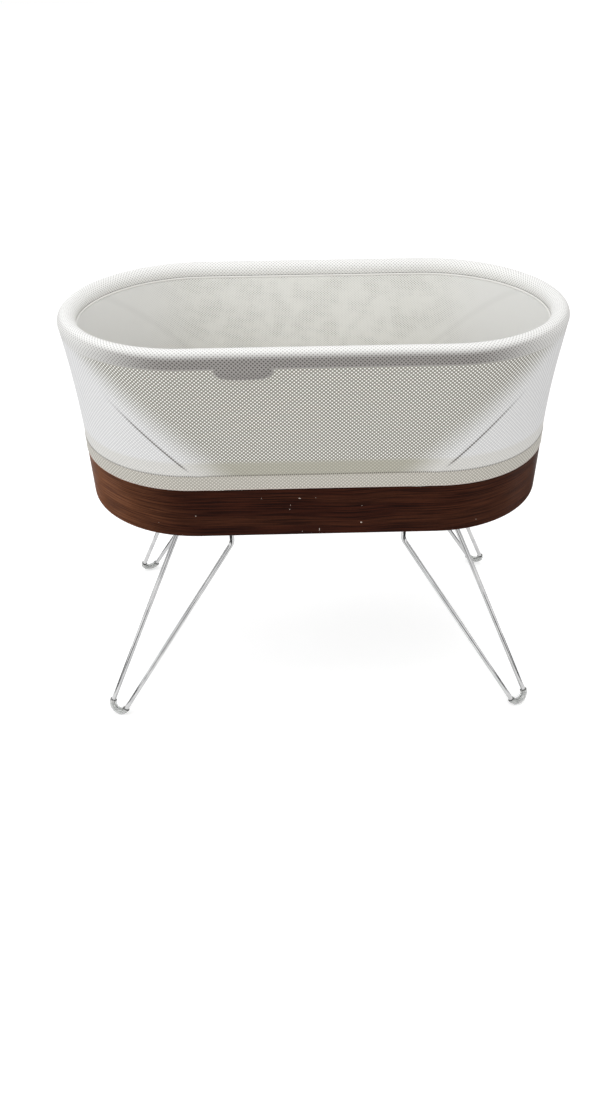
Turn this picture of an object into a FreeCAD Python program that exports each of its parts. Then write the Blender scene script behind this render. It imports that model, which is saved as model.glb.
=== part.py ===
"""Rocking bassinet on hairpin legs.

An oval tub of open-mesh fabric, stretched over an aluminium rim ring and four sloping struts, stands on
a bent-plywood base. The base is a closed case. In it a gearmotor turns a toothed sector, which rocks the
mattress platform a few degrees about a central ball bearing. Four bent-rod legs plug into the base.

Millimetres, +Z up. X is the long way, the front faces -Y, and the floor is z = 0 under the middle.
Everything with an oval plan shares one straight length and differs only in the radius of its ends.
"""

import FreeCAD
import Part

import math
import os

V = FreeCAD.Vector
UP = V(0, 0, 1)

# Overall sizes.
OVERALL_LENGTH = 912.0
OVERALL_WIDTH = 483.0
OVERALL_HEIGHT = 787.0

# Clearances.
GAP = 0.3  # between pieces that lie beside each other
RUNNING = 0.05  # radial, between a shaft and its hole

# Rim: tube, foam sleeve and fabric make one thick roll.
RIM_ROLL_R = 16.0
RIM_TUBE_R = 12.5
RIM_TUBE_WALL = 1.5
COVER_WALL = 1.8
HALF_STRAIGHT = (OVERALL_LENGTH - OVERALL_WIDTH) / 2
RIM_R = OVERALL_WIDTH / 2 - RIM_ROLL_R
RIM_Z = OVERALL_HEIGHT - RIM_ROLL_R
SEAM_ANGLE = math.radians(215)  # where the cover ends, on the roll's inner side
PIPING_R = 1.8

# Base case.
RIM_FLARE = 13.0  # how far the rim stands outside the base
BAND_R = OVERALL_WIDTH / 2 - RIM_FLARE
BAND_BOTTOM = 430.0
BAND_HEIGHT = 98.0
BAND_WALL = 9.0
BAND_TOP = BAND_BOTTOM + BAND_HEIGHT
BAND_EDGE = 1.5
PAN_R = BAND_R - BAND_WALL - GAP
PAN_WALL = 4.0
PAN_RECESS = 10.0  # the pan's floor lies this far above the band's lower edge
PAN_BOTTOM = BAND_BOTTOM + PAN_RECESS
PAN_FLOOR = PAN_BOTTOM + PAN_WALL
DECK_FLANGE = 4.0
DECK_SKIRT = 18.0
DECK_TOP = BAND_TOP + DECK_FLANGE
DECK_WIDTH = 11.0
HEM_STRIP_WALL = 1.5
HEM_STRIP_HEIGHT = 8.0

# Fabric walls.
COVER_WAIST = 4.5  # how far the stretched cover bows in between base and rim
LINER_WALL = 1.2
LINER_FOOT_R = BAND_R - 15.1

# Struts between base and rim.
STRUT_R = 5.0
STRUT_PATH_R = BAND_R - COVER_WALL - STRUT_R - GAP - 0.4
STRUT_FOOT_INSET = 34.5  # how far inside the straight's end a strut leaves the deck
STRUT_TURN = math.radians(60)  # how far round the end a strut meets the rim
STRUT_PLATE = (34.0, 9.2, 4.0)
STRUT_PLATE_INSET = 1.2  # the plate's middle lies this far inside the strut's
STRUT_REACH = 11.5  # height of the rim's axis above the end of the strut's axis
M5_R = 2.5
M4_R = 2.0

# Hairpin legs.
ROD_R = 4.75
PRONG_TOP = 28.0  # above the pan's floor
PRONG_BEND_DROP = 35.0  # from the band's lower edge to the bend
PRONG_BEND_R = 25.0
INNER_PRONG = (HALF_STRAIGHT - 54.1, PAN_R - 19.2)
OUTER_PRONG = (HALF_STRAIGHT + 51.3, PAN_R - 64.5)
FOOT = (HALF_STRAIGHT + 201.0, BAND_R + 16.7)
FOOT_BEND_R = 17.0
PAD_WALL = 2.4
SOLE = 1.8  # pad thickness under the rod
SOCKET_WALL = 2.3
SOCKET_DROP = 14.0  # how far a socket tube stands out below the pan
SOCKET_PLATE = 4.0

# Moving platform and mattress.
PLATFORM_TOP = DECK_TOP + 16.0
PLATFORM_THICK = 12.0
PLATFORM_BOTTOM = PLATFORM_TOP - PLATFORM_THICK
PLATFORM_R = BAND_R - 25.5
PLATFORM_STRAIGHT = HALF_STRAIGHT - 34.5
MATTRESS_THICK = 32.0
MATTRESS_R = PLATFORM_R - 3.0
MATTRESS_EDGE = 9.0
CLIP = (44.0, 3.0, 34.0)

# Pivot and bearing.
CHASSIS = (170.0, 120.0, 3.0)
CHASSIS_TOP = PAN_FLOOR + CHASSIS[2]
POST_FLANGE_R = 35.0
POST_FLANGE = 6.0
POST_SHOULDER_R = 18.0
BEARING_BORE_R = 15.0
BEARING_OUTER_R = 32.0
BEARING_HEIGHT = 16.0
BALL_R = 4.0
TRACK_DEPTH = 0.5  # how far a ball sits in each race
BEARING_RACE = (BEARING_OUTER_R - BEARING_BORE_R) / 2 - BALL_R + TRACK_DEPTH
BALLS = 14
BEARING_BOTTOM = CHASSIS_TOP + 31.0
BEARING_TOP = BEARING_BOTTOM + BEARING_HEIGHT
NUT_HEIGHT = 8.0
HUB_WALL = 8.0
HUB_FLANGE_R = 68.0
HUB_FLANGE = 6.0

# Drive.
MODULE = 1.5
PINION_TEETH = 16
SECTOR_TEETH = 160
SECTOR_HALF_TEETH = 6
SECTOR_THICK = 6.0
GEAR_BACKLASH = 0.3
ADDENDUM = 0.9
DEDENDUM = 1.25
PRESSURE = math.radians(20)
PINION_PITCH_R = MODULE * PINION_TEETH / 2
SECTOR_PITCH_R = MODULE * SECTOR_TEETH / 2
PINION_X = -(PINION_PITCH_R + SECTOR_PITCH_R)
SECTOR_BOTTOM = BEARING_TOP + 15.0
PINION_FACE = SECTOR_THICK + 6.0
SHAFT_R = 4.0
GEARBOX = (25.0, 22.0)
CAN = (19.0, 26.0)
MOTOR_PLATE = 3.0
MOTOR_PLATE_HALF = 30.0

# Power button, in the rear of the band.
BUTTON_R = 9.0
BUTTON_TRAVEL = 1.5
BUTTON_BORE_R = 14.0
BUTTON_Z = BAND_BOTTOM + 52.0
BUTTON_CAP = 8.0  # depth of the cap inside the band's face
BUTTON_PROUD = 1.0  # how far the cap stands out of its bezel
STEM_R = 2.5
BEZEL_SLEEVE = 6.0  # how far the bezel reaches inside the pan
CARRIER = 2.0
LIGHT_RING_WALL = 2.6
BEZEL_LIP = 1.6
SWITCH_FACE = PAN_R - PAN_WALL - BEZEL_SLEEVE - CARRIER
STEM_END = SWITCH_FACE + BUTTON_TRAVEL + 0.2

# Electrics on the pan's floor: centres, then sizes.
SPEAKER = (112.0, 34.0)  # x of its centre, radius
GRILLE_SLOTS = 9
GRILLE_PITCH = 6.0
GRILLE_SLOT = 2.4
INLET = (-90.0, PAN_R - 34.0)
RADIO_SWITCH = (60.0, PAN_R - 30.0)
RADIO_SWITCH_TRAVEL = 4.0
KNOB_HALF = 4.0
BOARD = (52.0, 30.0, 1.6)  # half length, half width, thickness
BOARD_CENTRE = (-10.0, 80.0)
STANDOFF = (4.0, 8.0)  # radius, height

# Glide posts that steady the platform's ends.
GLIDE_X = HALF_STRAIGHT + 15.0
GLIDE_Y = 70.0
GLIDE_POST_R = 11.0
GLIDE_PAD = (14.0, 3.0)  # radius, thickness


# ---------------------------------------------------------------- helpers


def cylinder(r, z0, z1, x=0.0, y=0.0):
    return Part.makeCylinder(r, z1 - z0, V(x, y, z0))


def rod_y(r, y0, y1, x, z):
    return Part.makeCylinder(r, y1 - y0, V(x, y0, z), V(0, 1, 0))


def box(x0, x1, y0, y1, z0, z1):
    return Part.makeBox(x1 - x0, y1 - y0, z1 - z0, V(x0, y0, z0))


def tube(r_in, r_out, z0, z1, x=0.0, y=0.0):
    return cylinder(r_out, z0, z1, x, y).cut(cylinder(r_in, z0, z1, x, y))


def oval_plate(radius, z0, z1, straight=HALF_STRAIGHT):
    """A flat plate with straight sides and round ends."""
    a, b = V(-straight, -radius, z0), V(straight, -radius, z0)
    c, d = V(straight, radius, z0), V(-straight, radius, z0)
    edges = [
        Part.LineSegment(a, b),
        Part.Arc(b, V(straight + radius, 0, z0), c),
        Part.LineSegment(c, d),
        Part.Arc(d, V(-straight - radius, 0, z0), a),
    ]
    face = Part.Face(Part.Wire([e.toShape() for e in edges]))
    return face.extrude(V(0, 0, z1 - z0))


def profile(steps):
    """A closed section in the YZ plane, from steps of (radius, z) pairs: two make a line, three an arc."""
    edges = []
    for step in steps:
        ends = [V(0, r, z) for r, z in step]
        edges.append(Part.Arc(*ends) if len(ends) == 3 else Part.LineSegment(*ends))
    return Part.Face(Part.Wire([e.toShape() for e in edges]))


def rectangle(r0, r1, z0, z1):
    corners = [V(0, r0, z0), V(0, r1, z0), V(0, r1, z1), V(0, r0, z1)]
    return Part.Face(Part.makePolygon(corners + corners[:1]))


def disc(r_in, r_out, radius, z):
    outer = Part.Wire(Part.Circle(V(0, radius, z), V(1, 0, 0), r_out).toShape())
    if not r_in:
        return Part.Face(outer)
    inner = Part.Wire(Part.Circle(V(0, radius, z), V(1, 0, 0), r_in).toShape())
    return Part.Face(outer).cut(Part.Face(inner))


def oval_ring(section, straight=HALF_STRAIGHT):
    """A section carried round the oval: two straight sides and two half turns."""
    face = section.Faces[0]
    start = face.translated(V(-straight, 0, 0))
    rear = start.extrude(V(2 * straight, 0, 0))
    front = rear.rotated(V(0, 0, 0), UP, 180)
    right = face.translated(V(straight, 0, 0)).revolve(V(straight, 0, 0), V(0, 0, -1), 180)
    left = start.revolve(V(-straight, 0, 0), UP, 180)
    return rear.multiFuse([right, front, left]).removeSplitter()


def swept_rod(wire, radius):
    """A round rod along a wire of tangent runs and arcs."""
    first = wire.OrderedEdges[0]
    start = first.valueAt(first.FirstParameter)
    heading = first.tangentAt(first.FirstParameter)
    if wire.OrderedVertexes[0].Point.distanceToPoint(start) > 1e-6:
        start, heading = first.valueAt(first.LastParameter), first.tangentAt(first.LastParameter) * -1
    section = Part.Wire(Part.Circle(start, heading, radius).toShape())
    return Part.Wire(wire).makePipeShell([section], True, True)


def quadrants(shape):
    """The piece in the rear right quarter, with its mirrored copies in the other three."""
    left = shape.mirror(V(0, 0, 0), V(1, 0, 0))
    front = V(0, 1, 0)
    return {
        "front_left": left.mirror(V(0, 0, 0), front),
        "front_right": shape.mirror(V(0, 0, 0), front),
        "rear_left": left,
        "rear_right": shape,
    }


def save(name, shape):
    """Writes one sub-part. Anything but a single shape is a group of separate solids."""
    if not isinstance(shape, Part.Shape):
        shape = Part.makeCompound(list(shape))
    shape.exportStep(os.path.join("parts", name + ".step"))


def screw(r, length, head_r, head_h):
    """A screw at the origin, its head standing on z = 0 and its shank pointing down."""
    return cylinder(r, -length, 0).fuse(cylinder(head_r, 0, head_h)).removeSplitter()


# ---------------------------------------------------------------- rim, struts and fabric


def rim_tube():
    """Closed aluminium ring, with a weld vent on its underside so that its inside isn't sealed."""
    ring = oval_ring(disc(RIM_TUBE_R - RIM_TUBE_WALL, RIM_TUBE_R, RIM_R, RIM_Z))
    vent = cylinder(2.0, RIM_Z - RIM_TUBE_R - 1, RIM_Z, 0, -RIM_R)
    return ring.cut(vent)


def rim_padding(strut_holes, cover):
    """Foam sleeve that fills the roll between tube and cover, pressed flat where a leaning wall meets it."""
    sleeve = oval_ring(disc(RIM_TUBE_R, RIM_ROLL_R - COVER_WALL - GAP, RIM_R, RIM_Z))
    return sleeve.cut(strut_holes).cut(cover)


def strut_wire():
    """A strut's axis lies in one sloping plane: a straight run beside the wall, then an elliptic arc."""
    x0 = HALF_STRAIGHT - STRUT_FOOT_INSET
    head_x = HALF_STRAIGHT + STRUT_PATH_R * math.sin(STRUT_TURN)
    head_z = RIM_Z - STRUT_REACH
    slope = (head_z - DECK_TOP) / (head_x - x0)
    bend_z = DECK_TOP + STRUT_FOOT_INSET * slope
    low = V(x0 - 8.0, STRUT_PATH_R, DECK_TOP - 8.0 * slope)
    side = V(HALF_STRAIGHT, STRUT_PATH_R, bend_z)
    tip = V(HALF_STRAIGHT + STRUT_PATH_R, 0, bend_z + STRUT_PATH_R * slope)
    head = V(head_x, STRUT_PATH_R * math.cos(STRUT_TURN), head_z)
    ellipse = Part.Ellipse(tip, side, V(HALF_STRAIGHT, 0, bend_z))
    arc = Part.ArcOfEllipse(ellipse, ellipse.parameter(head), ellipse.parameter(side)).toShape()
    return Part.Wire(Part.__sortEdges__([Part.LineSegment(low, side).toShape(), arc]))


def strut_bar(radius):
    """The strut's round bar, from the deck to the rim tube."""
    bar = swept_rod(strut_wire(), radius)
    below = box(0, OVERALL_LENGTH, 0, OVERALL_WIDTH, 0, DECK_TOP)
    return bar.cut(below).cut(oval_ring(disc(0, RIM_TUBE_R, RIM_R, RIM_Z)))


def strut():
    """One strut: a bar with a saddle under the rim tube, welded to its foot plate."""
    length, depth, thick = STRUT_PLATE
    x, y = strut_plate_centre()
    plate = box(x - length / 2, x + length / 2, y - depth / 2, y + depth / 2, DECK_TOP, DECK_TOP + thick)
    return strut_bar(STRUT_R).fuse(plate).cut(strut_screw()).removeSplitter()


def strut_plate_centre():
    """The plate's middle: far enough along for its screw to stand clear of the bar."""
    return HALF_STRAIGHT - STRUT_FOOT_INSET - 6.0, STRUT_PATH_R - STRUT_PLATE_INSET


def strut_screw():
    x, y = strut_plate_centre()
    at = V(x - STRUT_PLATE[0] / 2 + 6.0, y, DECK_TOP + STRUT_PLATE[2])
    return screw(M4_R, STRUT_PLATE[2] + DECK_FLANGE - GAP, 3.6, 2.4).translated(at)


def wall_arc(r_low, z_low, r_high, z_high, waist):
    return (
        (r_low, z_low),
        ((r_low + r_high) / 2 - waist, (z_low + z_high) / 2),
        (r_high, z_high),
    )


def roll_point(radius, angle):
    return RIM_R + radius * math.cos(angle), RIM_Z + radius * math.sin(angle)


def outer_cover(strut_holes):
    """Mesh cover: stands on the band, bows in to its waist and wraps the rim as far as the inner seam."""
    inner = RIM_ROLL_R - COVER_WALL
    foot_z = BAND_TOP + GAP
    outside = wall_arc(BAND_R, foot_z, RIM_R + RIM_ROLL_R, RIM_Z, COVER_WAIST)
    inside = wall_arc(BAND_R - COVER_WALL, foot_z, RIM_R + inner, RIM_Z, COVER_WAIST)
    top = math.pi / 2
    section = profile(
        [
            outside,
            (outside[2], roll_point(RIM_ROLL_R, top), roll_point(RIM_ROLL_R, SEAM_ANGLE)),
            (roll_point(RIM_ROLL_R, SEAM_ANGLE), roll_point(inner, SEAM_ANGLE)),
            (roll_point(inner, SEAM_ANGLE), roll_point(inner, top), inside[2]),
            tuple(reversed(inside)),
            (inside[0], outside[0]),
        ]
    )
    return oval_ring(section).cut(strut_holes)


def seam_piping():
    r, z = roll_point(RIM_ROLL_R + PIPING_R, SEAM_ANGLE)
    return oval_ring(disc(0, PIPING_R, r, z))


def inner_liner():
    """Mesh liner, from just under the seam piping down to the deck."""
    r, z = roll_point(RIM_ROLL_R + PIPING_R, SEAM_ANGLE)
    top_z = z - PIPING_R
    foot = LINER_FOOT_R
    section = profile(
        [
            ((foot, DECK_TOP), (foot + LINER_WALL, DECK_TOP)),
            ((foot + LINER_WALL, DECK_TOP), (r + LINER_WALL / 2, top_z)),
            ((r + LINER_WALL / 2, top_z), (r - LINER_WALL / 2, top_z)),
            ((r - LINER_WALL / 2, top_z), (foot, DECK_TOP)),
        ]
    )
    return oval_ring(section)


def microphone_pod():
    """Small moulded pod that hangs under the rim between cover and liner, at the front left."""
    top = RIM_Z - RIM_ROLL_R + COVER_WALL - GAP
    pod = box(-HALF_STRAIGHT + 66, -HALF_STRAIGHT + 130, -RIM_R - 5.5, -RIM_R + 6.5, top - 17, top)
    vertical = [e for e in pod.Edges if abs(e.tangentAt(e.FirstParameter).z) > 0.9]
    return pod.makeFillet(4.0, vertical)


# ---------------------------------------------------------------- base case


def band_screw_places():
    """(x, y, angle) of the screws that hold the band, angle being the way they point."""
    places = []
    for x in (-HALF_STRAIGHT + 60, HALF_STRAIGHT - 60):
        places += [(x, PAN_R, 90.0), (x, -PAN_R, -90.0)]
    for side, angle in ((1, 35.0), (1, -35.0), (-1, 145.0), (-1, -145.0)):
        x = side * HALF_STRAIGHT + PAN_R * math.cos(math.radians(angle))
        places.append((x, PAN_R * math.sin(math.radians(angle)), angle))
    return places


def band_screws(r=M4_R, head=3.8):
    """Screws from inside the pan into the band, with their heads on the pan's inner face."""
    blank = screw(r, PAN_WALL + 6.0, head, 2.0).rotated(V(0, 0, 0), V(0, 1, 0), -90)
    made = []
    for x, y, angle in band_screw_places():
        inward = V(math.cos(math.radians(angle)), math.sin(math.radians(angle)), 0) * -(PAN_WALL + GAP)
        turned = blank.rotated(V(0, 0, 0), UP, angle)
        made.append(turned.translated(V(x, y, BAND_BOTTOM + 45.0) + inward))
    return made


def button_bore(y0, y1):
    return rod_y(BUTTON_BORE_R, y0, y1, 0, BUTTON_Z)


def wood_band():
    e = BAND_EDGE
    r0, r1, z0, z1 = BAND_R - BAND_WALL, BAND_R, BAND_BOTTOM, BAND_TOP
    section = profile(
        [
            ((r0, z0), (r1 - e, z0)),
            ((r1 - e, z0), (r1, z0 + e)),
            ((r1, z0 + e), (r1, z1)),
            ((r1, z1), (r0, z1)),
            ((r0, z1), (r0, z0)),
        ]
    )
    band = oval_ring(section).cut(button_bore(PAN_R, BAND_R + 1))
    return band.cut(Part.makeCompound(band_screws()))


def grille_slots(z0, z1):
    x, r = SPEAKER
    slots = []
    for i in range(GRILLE_SLOTS):
        off = (i - (GRILLE_SLOTS - 1) / 2) * GRILLE_PITCH
        half = math.sqrt((r - 5.0) ** 2 - off**2)
        slots.append(box(x + off - GRILLE_SLOT / 2, x + off + GRILLE_SLOT / 2, -half, half, z0, z1))
    return slots


def base_pan():
    """Moulded tray inside the band: floor, wall, leg holes and the openings for grille, inlet and switch."""
    pan = oval_plate(PAN_R, PAN_BOTTOM, BAND_TOP - DECK_SKIRT)
    pan = pan.cut(oval_plate(PAN_R - PAN_WALL, PAN_FLOOR, BAND_TOP)).multiFuse(glide_posts())
    cuts = list(quadrants(Part.makeCompound(socket_tubes(RUNNING))).values())
    cuts += list(quadrants(Part.makeCompound(socket_bolts(M4_R + 0.2))).values())
    cuts += grille_slots(PAN_BOTTOM, PAN_FLOOR)
    cuts.append(button_bore(0, PAN_R + 1))
    x, y = INLET
    cuts.append(cylinder(5.0, PAN_BOTTOM, PAN_FLOOR, x, y))
    x, y = RADIO_SWITCH
    half = KNOB_HALF + RADIO_SWITCH_TRAVEL / 2 + 2 * GAP
    cuts.append(box(x - half, x + half, y - 2.5, y + 2.5, PAN_BOTTOM, PAN_FLOOR))
    cuts += band_screws(M4_R + RUNNING)
    return pan.cut(Part.makeCompound(cuts)).removeSplitter()


def deck_ring():
    """Moulded ring that closes the case, guards the fabric's edge and carries the strut plates."""
    skirt = (LINER_FOOT_R + LINER_WALL - DECK_WIDTH + 4.0, PAN_R)
    flange_r = BAND_R - COVER_WALL - HEM_STRIP_WALL - 2 * GAP
    section = profile(
        [
            ((skirt[0], BAND_TOP - DECK_SKIRT + GAP), (skirt[1], BAND_TOP - DECK_SKIRT + GAP)),
            ((skirt[1], BAND_TOP - DECK_SKIRT + GAP), (skirt[1], BAND_TOP)),
            ((skirt[1], BAND_TOP), (flange_r, BAND_TOP)),
            ((flange_r, BAND_TOP), (flange_r, DECK_TOP)),
            ((flange_r, DECK_TOP), (skirt[0], DECK_TOP)),
            ((skirt[0], DECK_TOP), (skirt[0], BAND_TOP - DECK_SKIRT + GAP)),
        ]
    )
    holes = Part.makeCompound(list(quadrants(strut_screw()).values()))
    return oval_ring(section).cut(holes)


def hem_strip(strut_holes):
    """Flexible strip sewn into the cover's hem, standing on the band beside the deck's flange."""
    r1 = BAND_R - COVER_WALL - GAP
    ring = oval_ring(rectangle(r1 - HEM_STRIP_WALL, r1, BAND_TOP, BAND_TOP + HEM_STRIP_HEIGHT))
    plates = list(quadrants(strut_plate_room()).values())
    return ring.cut(Part.makeCompound(plates)).cut(strut_holes)


def strut_plate_room():
    """The plate's block with clearance, for what has to pass it."""
    length, depth, thick = STRUT_PLATE
    x, y = strut_plate_centre()
    half = length / 2 + GAP
    return box(x - half, x + half, y - depth / 2, y + depth / 2 + GAP, DECK_TOP - 0.5, DECK_TOP + thick + 1)


def chassis_plate():
    """Pressed steel plate on the pan's floor, under pivot, motor, speaker and control board."""
    half_x, half_y, _ = CHASSIS
    plate = box(-half_x, half_x, -half_y, half_y, PAN_FLOOR, CHASSIS_TOP)
    vertical = [e for e in plate.Edges if abs(e.tangentAt(e.FirstParameter).z) > 0.9]
    plate = plate.makeFillet(14.0, vertical)
    cuts = [cylinder(SPEAKER[1] - 4, PAN_FLOOR, CHASSIS_TOP, SPEAKER[0], 0)]
    cuts += post_screws() + standoff_screws() + motor_feet_screws()
    return plate.cut(Part.makeCompound(cuts))


# ---------------------------------------------------------------- legs


def tangent_point(p, centre, radius, away):
    """Where the line from p touches the circle about centre, on the side of the vector away."""
    to_p = p - centre
    d = to_p.Length
    along = V(to_p).normalize()
    across = away - along * away.dot(along)
    across.normalize()
    reach = math.sqrt(d * d - radius * radius)
    return centre + along * (radius * radius / d) + across * (radius * reach / d)


def leg_points():
    """Prong bends, the foot bend's centre and its touch points. The rod's lowest point clears the sole."""
    bend_z = BAND_BOTTOM - PRONG_BEND_DROP
    inner = V(*INNER_PRONG, bend_z)
    outer = V(*OUTER_PRONG, bend_z)
    centre = V(*FOOT, FOOT_BEND_R + ROD_R + SOLE)
    for _ in range(30):
        normal = (inner - centre).cross(outer - centre).normalize()
        down = V(0, 0, -1) + normal * normal.z
        down.normalize()
        centre.z = ROD_R + SOLE - FOOT_BEND_R * down.z
    spread = outer - inner
    touch_inner = tangent_point(inner, centre, FOOT_BEND_R, spread * -1)
    touch_outer = tangent_point(outer, centre, FOOT_BEND_R, spread)
    return inner, outer, centre, touch_inner, touch_outer, centre + down * FOOT_BEND_R


def corner(before, at, after, radius):
    """Start, middle and end of the arc that rounds a corner."""
    a, b = (before - at).normalize(), (after - at).normalize()
    half = a.getAngle(b) / 2
    back = radius / math.tan(half)
    middle = (a + b).normalize()
    return at + a * back, at + middle * (radius / math.sin(half) - radius), at + b * back


def leg_wire():
    inner, outer, centre, touch_inner, touch_outer, low = leg_points()
    top_z = PAN_FLOOR + PRONG_TOP
    inner_top, outer_top = V(inner.x, inner.y, top_z), V(outer.x, outer.y, top_z)
    a = corner(inner_top, inner, touch_inner, PRONG_BEND_R)
    b = corner(touch_outer, outer, outer_top, PRONG_BEND_R)
    edges = [
        Part.LineSegment(inner_top, a[0]),
        Part.Arc(*a),
        Part.LineSegment(a[2], touch_inner),
        Part.Arc(touch_inner, low, touch_outer),
        Part.LineSegment(touch_outer, b[0]),
        Part.Arc(*b),
        Part.LineSegment(b[2], outer_top),
    ]
    return Part.Wire([e.toShape() for e in edges])


def leg():
    """One hairpin leg: a single chromed rod with two upright prongs."""
    return swept_rod(leg_wire(), ROD_R)


def foot_pad():
    """Clear sleeve round the foot bend, flat where it stands on the floor."""
    _, _, centre, touch_inner, touch_outer, low = leg_points()
    bend = Part.Wire(Part.Arc(touch_inner, low, touch_outer).toShape())
    sleeve = swept_rod(bend, ROD_R + PAD_WALL).cut(leg())
    reach = 3 * FOOT_BEND_R
    trim = box(centre.x - reach, centre.x + reach, centre.y - reach, centre.y + reach, -reach, 0)
    return sleeve.cut(trim)


def socket_tubes(extra=0.0):
    """The two tubes that take a leg's prongs, not yet bored: from below the pan to above the prongs."""
    made = []
    for x, y in (INNER_PRONG, OUTER_PRONG):
        bore = ROD_R + RUNNING
        z0, z1 = PAN_BOTTOM - SOCKET_DROP, PAN_FLOOR + PRONG_TOP + 4
        made.append(cylinder(bore + SOCKET_WALL + extra, z0, z1, x, y))
    return made


def socket_bolt_places():
    (x0, y0), (x1, y1) = INNER_PRONG, OUTER_PRONG
    along = V(x1 - x0, y1 - y0, 0).normalize()
    across = V(along.y, -along.x, 0)
    middle = V((x0 + x1) / 2, (y0 + y1) / 2, 0)
    if across.y > 0:
        across = across * -1
    return [middle + across * 14 + along * s for s in (-30.0, 30.0)]


def socket_plate():
    """Flat steel web that joins the two socket tubes on the pan's floor."""
    z0, z1 = PAN_FLOOR, PAN_FLOOR + SOCKET_PLATE
    (x0, y0), (x1, y1) = INNER_PRONG, OUTER_PRONG
    along = V(x1 - x0, y1 - y0, 0).normalize()
    across = V(along.y, -along.x, 0)
    if across.y > 0:
        across = across * -1
    start = V(x0, y0, z0) - along * 11
    end = V(x1, y1, z0) + along * 11
    ring = [start - across * 11, end - across * 11, end + across * 22, start + across * 22]
    web = Part.Face(Part.makePolygon(ring + ring[:1])).extrude(V(0, 0, z1 - z0))
    inside = oval_plate(PAN_R - PAN_WALL - GAP, z0, z1)
    return web.common(inside)


def leg_socket():
    body = socket_plate()
    for t in socket_tubes():
        body = body.fuse(t)
    for x, y in (INNER_PRONG, OUTER_PRONG):
        z0 = PAN_BOTTOM - SOCKET_DROP
        body = body.cut(cylinder(ROD_R + RUNNING, z0, PAN_FLOOR + PRONG_TOP + 0.5, x, y))
    body = body.cut(Part.makeCompound(socket_bolts() + grub_screws()))
    return body.removeSplitter()


def socket_bolts(r=M4_R):
    """Bolts up through the pan's floor into the socket web, heads underneath."""
    blank = screw(r, PAN_WALL + SOCKET_PLATE, 3.8, 2.4).rotated(V(0, 0, 0), V(1, 0, 0), 180)
    return [blank.translated(V(p.x, p.y, PAN_BOTTOM)) for p in socket_bolt_places()]


def grub_screws():
    """One set screw per prong, through the socket tube's side on to the rod."""
    (x0, y0), (x1, y1) = INNER_PRONG, OUTER_PRONG
    along = V(x1 - x0, y1 - y0, 0).normalize()
    z = PAN_FLOOR + SOCKET_PLATE + 9.0
    reach = ROD_R + RUNNING + SOCKET_WALL + 2.0
    made = []
    for (x, y), way in ((INNER_PRONG, along), (OUTER_PRONG, along * -1)):
        start = V(x, y, z) + way * ROD_R
        made.append(Part.makeCylinder(M4_R, reach - ROD_R, start, way))
    return made


# ---------------------------------------------------------------- pivot and platform


def post_screws():
    """Screws that hold the pivot post down on the chassis."""
    places = [math.radians(a) for a in (45, 135, 225, 315)]
    blank = screw(M4_R, POST_FLANGE + CHASSIS[2], 3.6, 2.4)
    ring = (POST_FLANGE_R + POST_SHOULDER_R) / 2
    z = CHASSIS_TOP + POST_FLANGE
    return [blank.translated(V(ring * math.cos(a), ring * math.sin(a), z)) for a in places]


def pivot_post():
    post = cylinder(POST_FLANGE_R, CHASSIS_TOP, CHASSIS_TOP + POST_FLANGE)
    post = post.fuse(cylinder(POST_SHOULDER_R, CHASSIS_TOP, BEARING_BOTTOM))
    post = post.fuse(cylinder(BEARING_BORE_R, BEARING_BOTTOM, BEARING_TOP))
    post = post.fuse(cylinder(BEARING_BORE_R - 3, BEARING_TOP, BEARING_TOP + NUT_HEIGHT + 3))
    return post.cut(Part.makeCompound(post_screws())).removeSplitter()


def ball_track():
    """The groove that the balls run in, cut into both races."""
    radius = (BEARING_BORE_R + BEARING_RACE + BEARING_OUTER_R - BEARING_RACE) / 2
    return Part.makeTorus(radius, BALL_R + RUNNING, V(0, 0, (BEARING_BOTTOM + BEARING_TOP) / 2)), radius


def bearing_parts():
    """Inner race, outer race and balls of the central bearing."""
    groove, radius = ball_track()
    inner = tube(BEARING_BORE_R, BEARING_BORE_R + BEARING_RACE, BEARING_BOTTOM, BEARING_TOP).cut(groove)
    outer = tube(BEARING_OUTER_R - BEARING_RACE, BEARING_OUTER_R, BEARING_BOTTOM, BEARING_TOP).cut(groove)
    z = (BEARING_BOTTOM + BEARING_TOP) / 2
    turns = [2 * math.pi * i / BALLS for i in range(BALLS)]
    balls = [Part.makeSphere(BALL_R, V(radius * math.cos(a), radius * math.sin(a), z)) for a in turns]
    return inner, outer, balls


def pivot_nut():
    r = BEARING_BORE_R + 3.0
    turns = [math.radians(60 * i) for i in range(7)]
    corners = [V(r * math.cos(a), r * math.sin(a), BEARING_TOP) for a in turns]
    prism = Part.Face(Part.makePolygon(corners)).extrude(V(0, 0, NUT_HEIGHT))
    return prism.cut(cylinder(BEARING_BORE_R - 3, BEARING_TOP, BEARING_TOP + NUT_HEIGHT))


def hub_screws():
    blank = screw(M5_R, HUB_FLANGE + 8.0, 4.4, 3.0).rotated(V(0, 0, 0), V(1, 0, 0), 180)
    ring = HUB_FLANGE_R - 10
    z = PLATFORM_BOTTOM - HUB_FLANGE
    places = [math.radians(30 + 60 * i) for i in range(6)]
    return [blank.translated(V(ring * math.cos(a), ring * math.sin(a), z)) for a in places]


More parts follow.
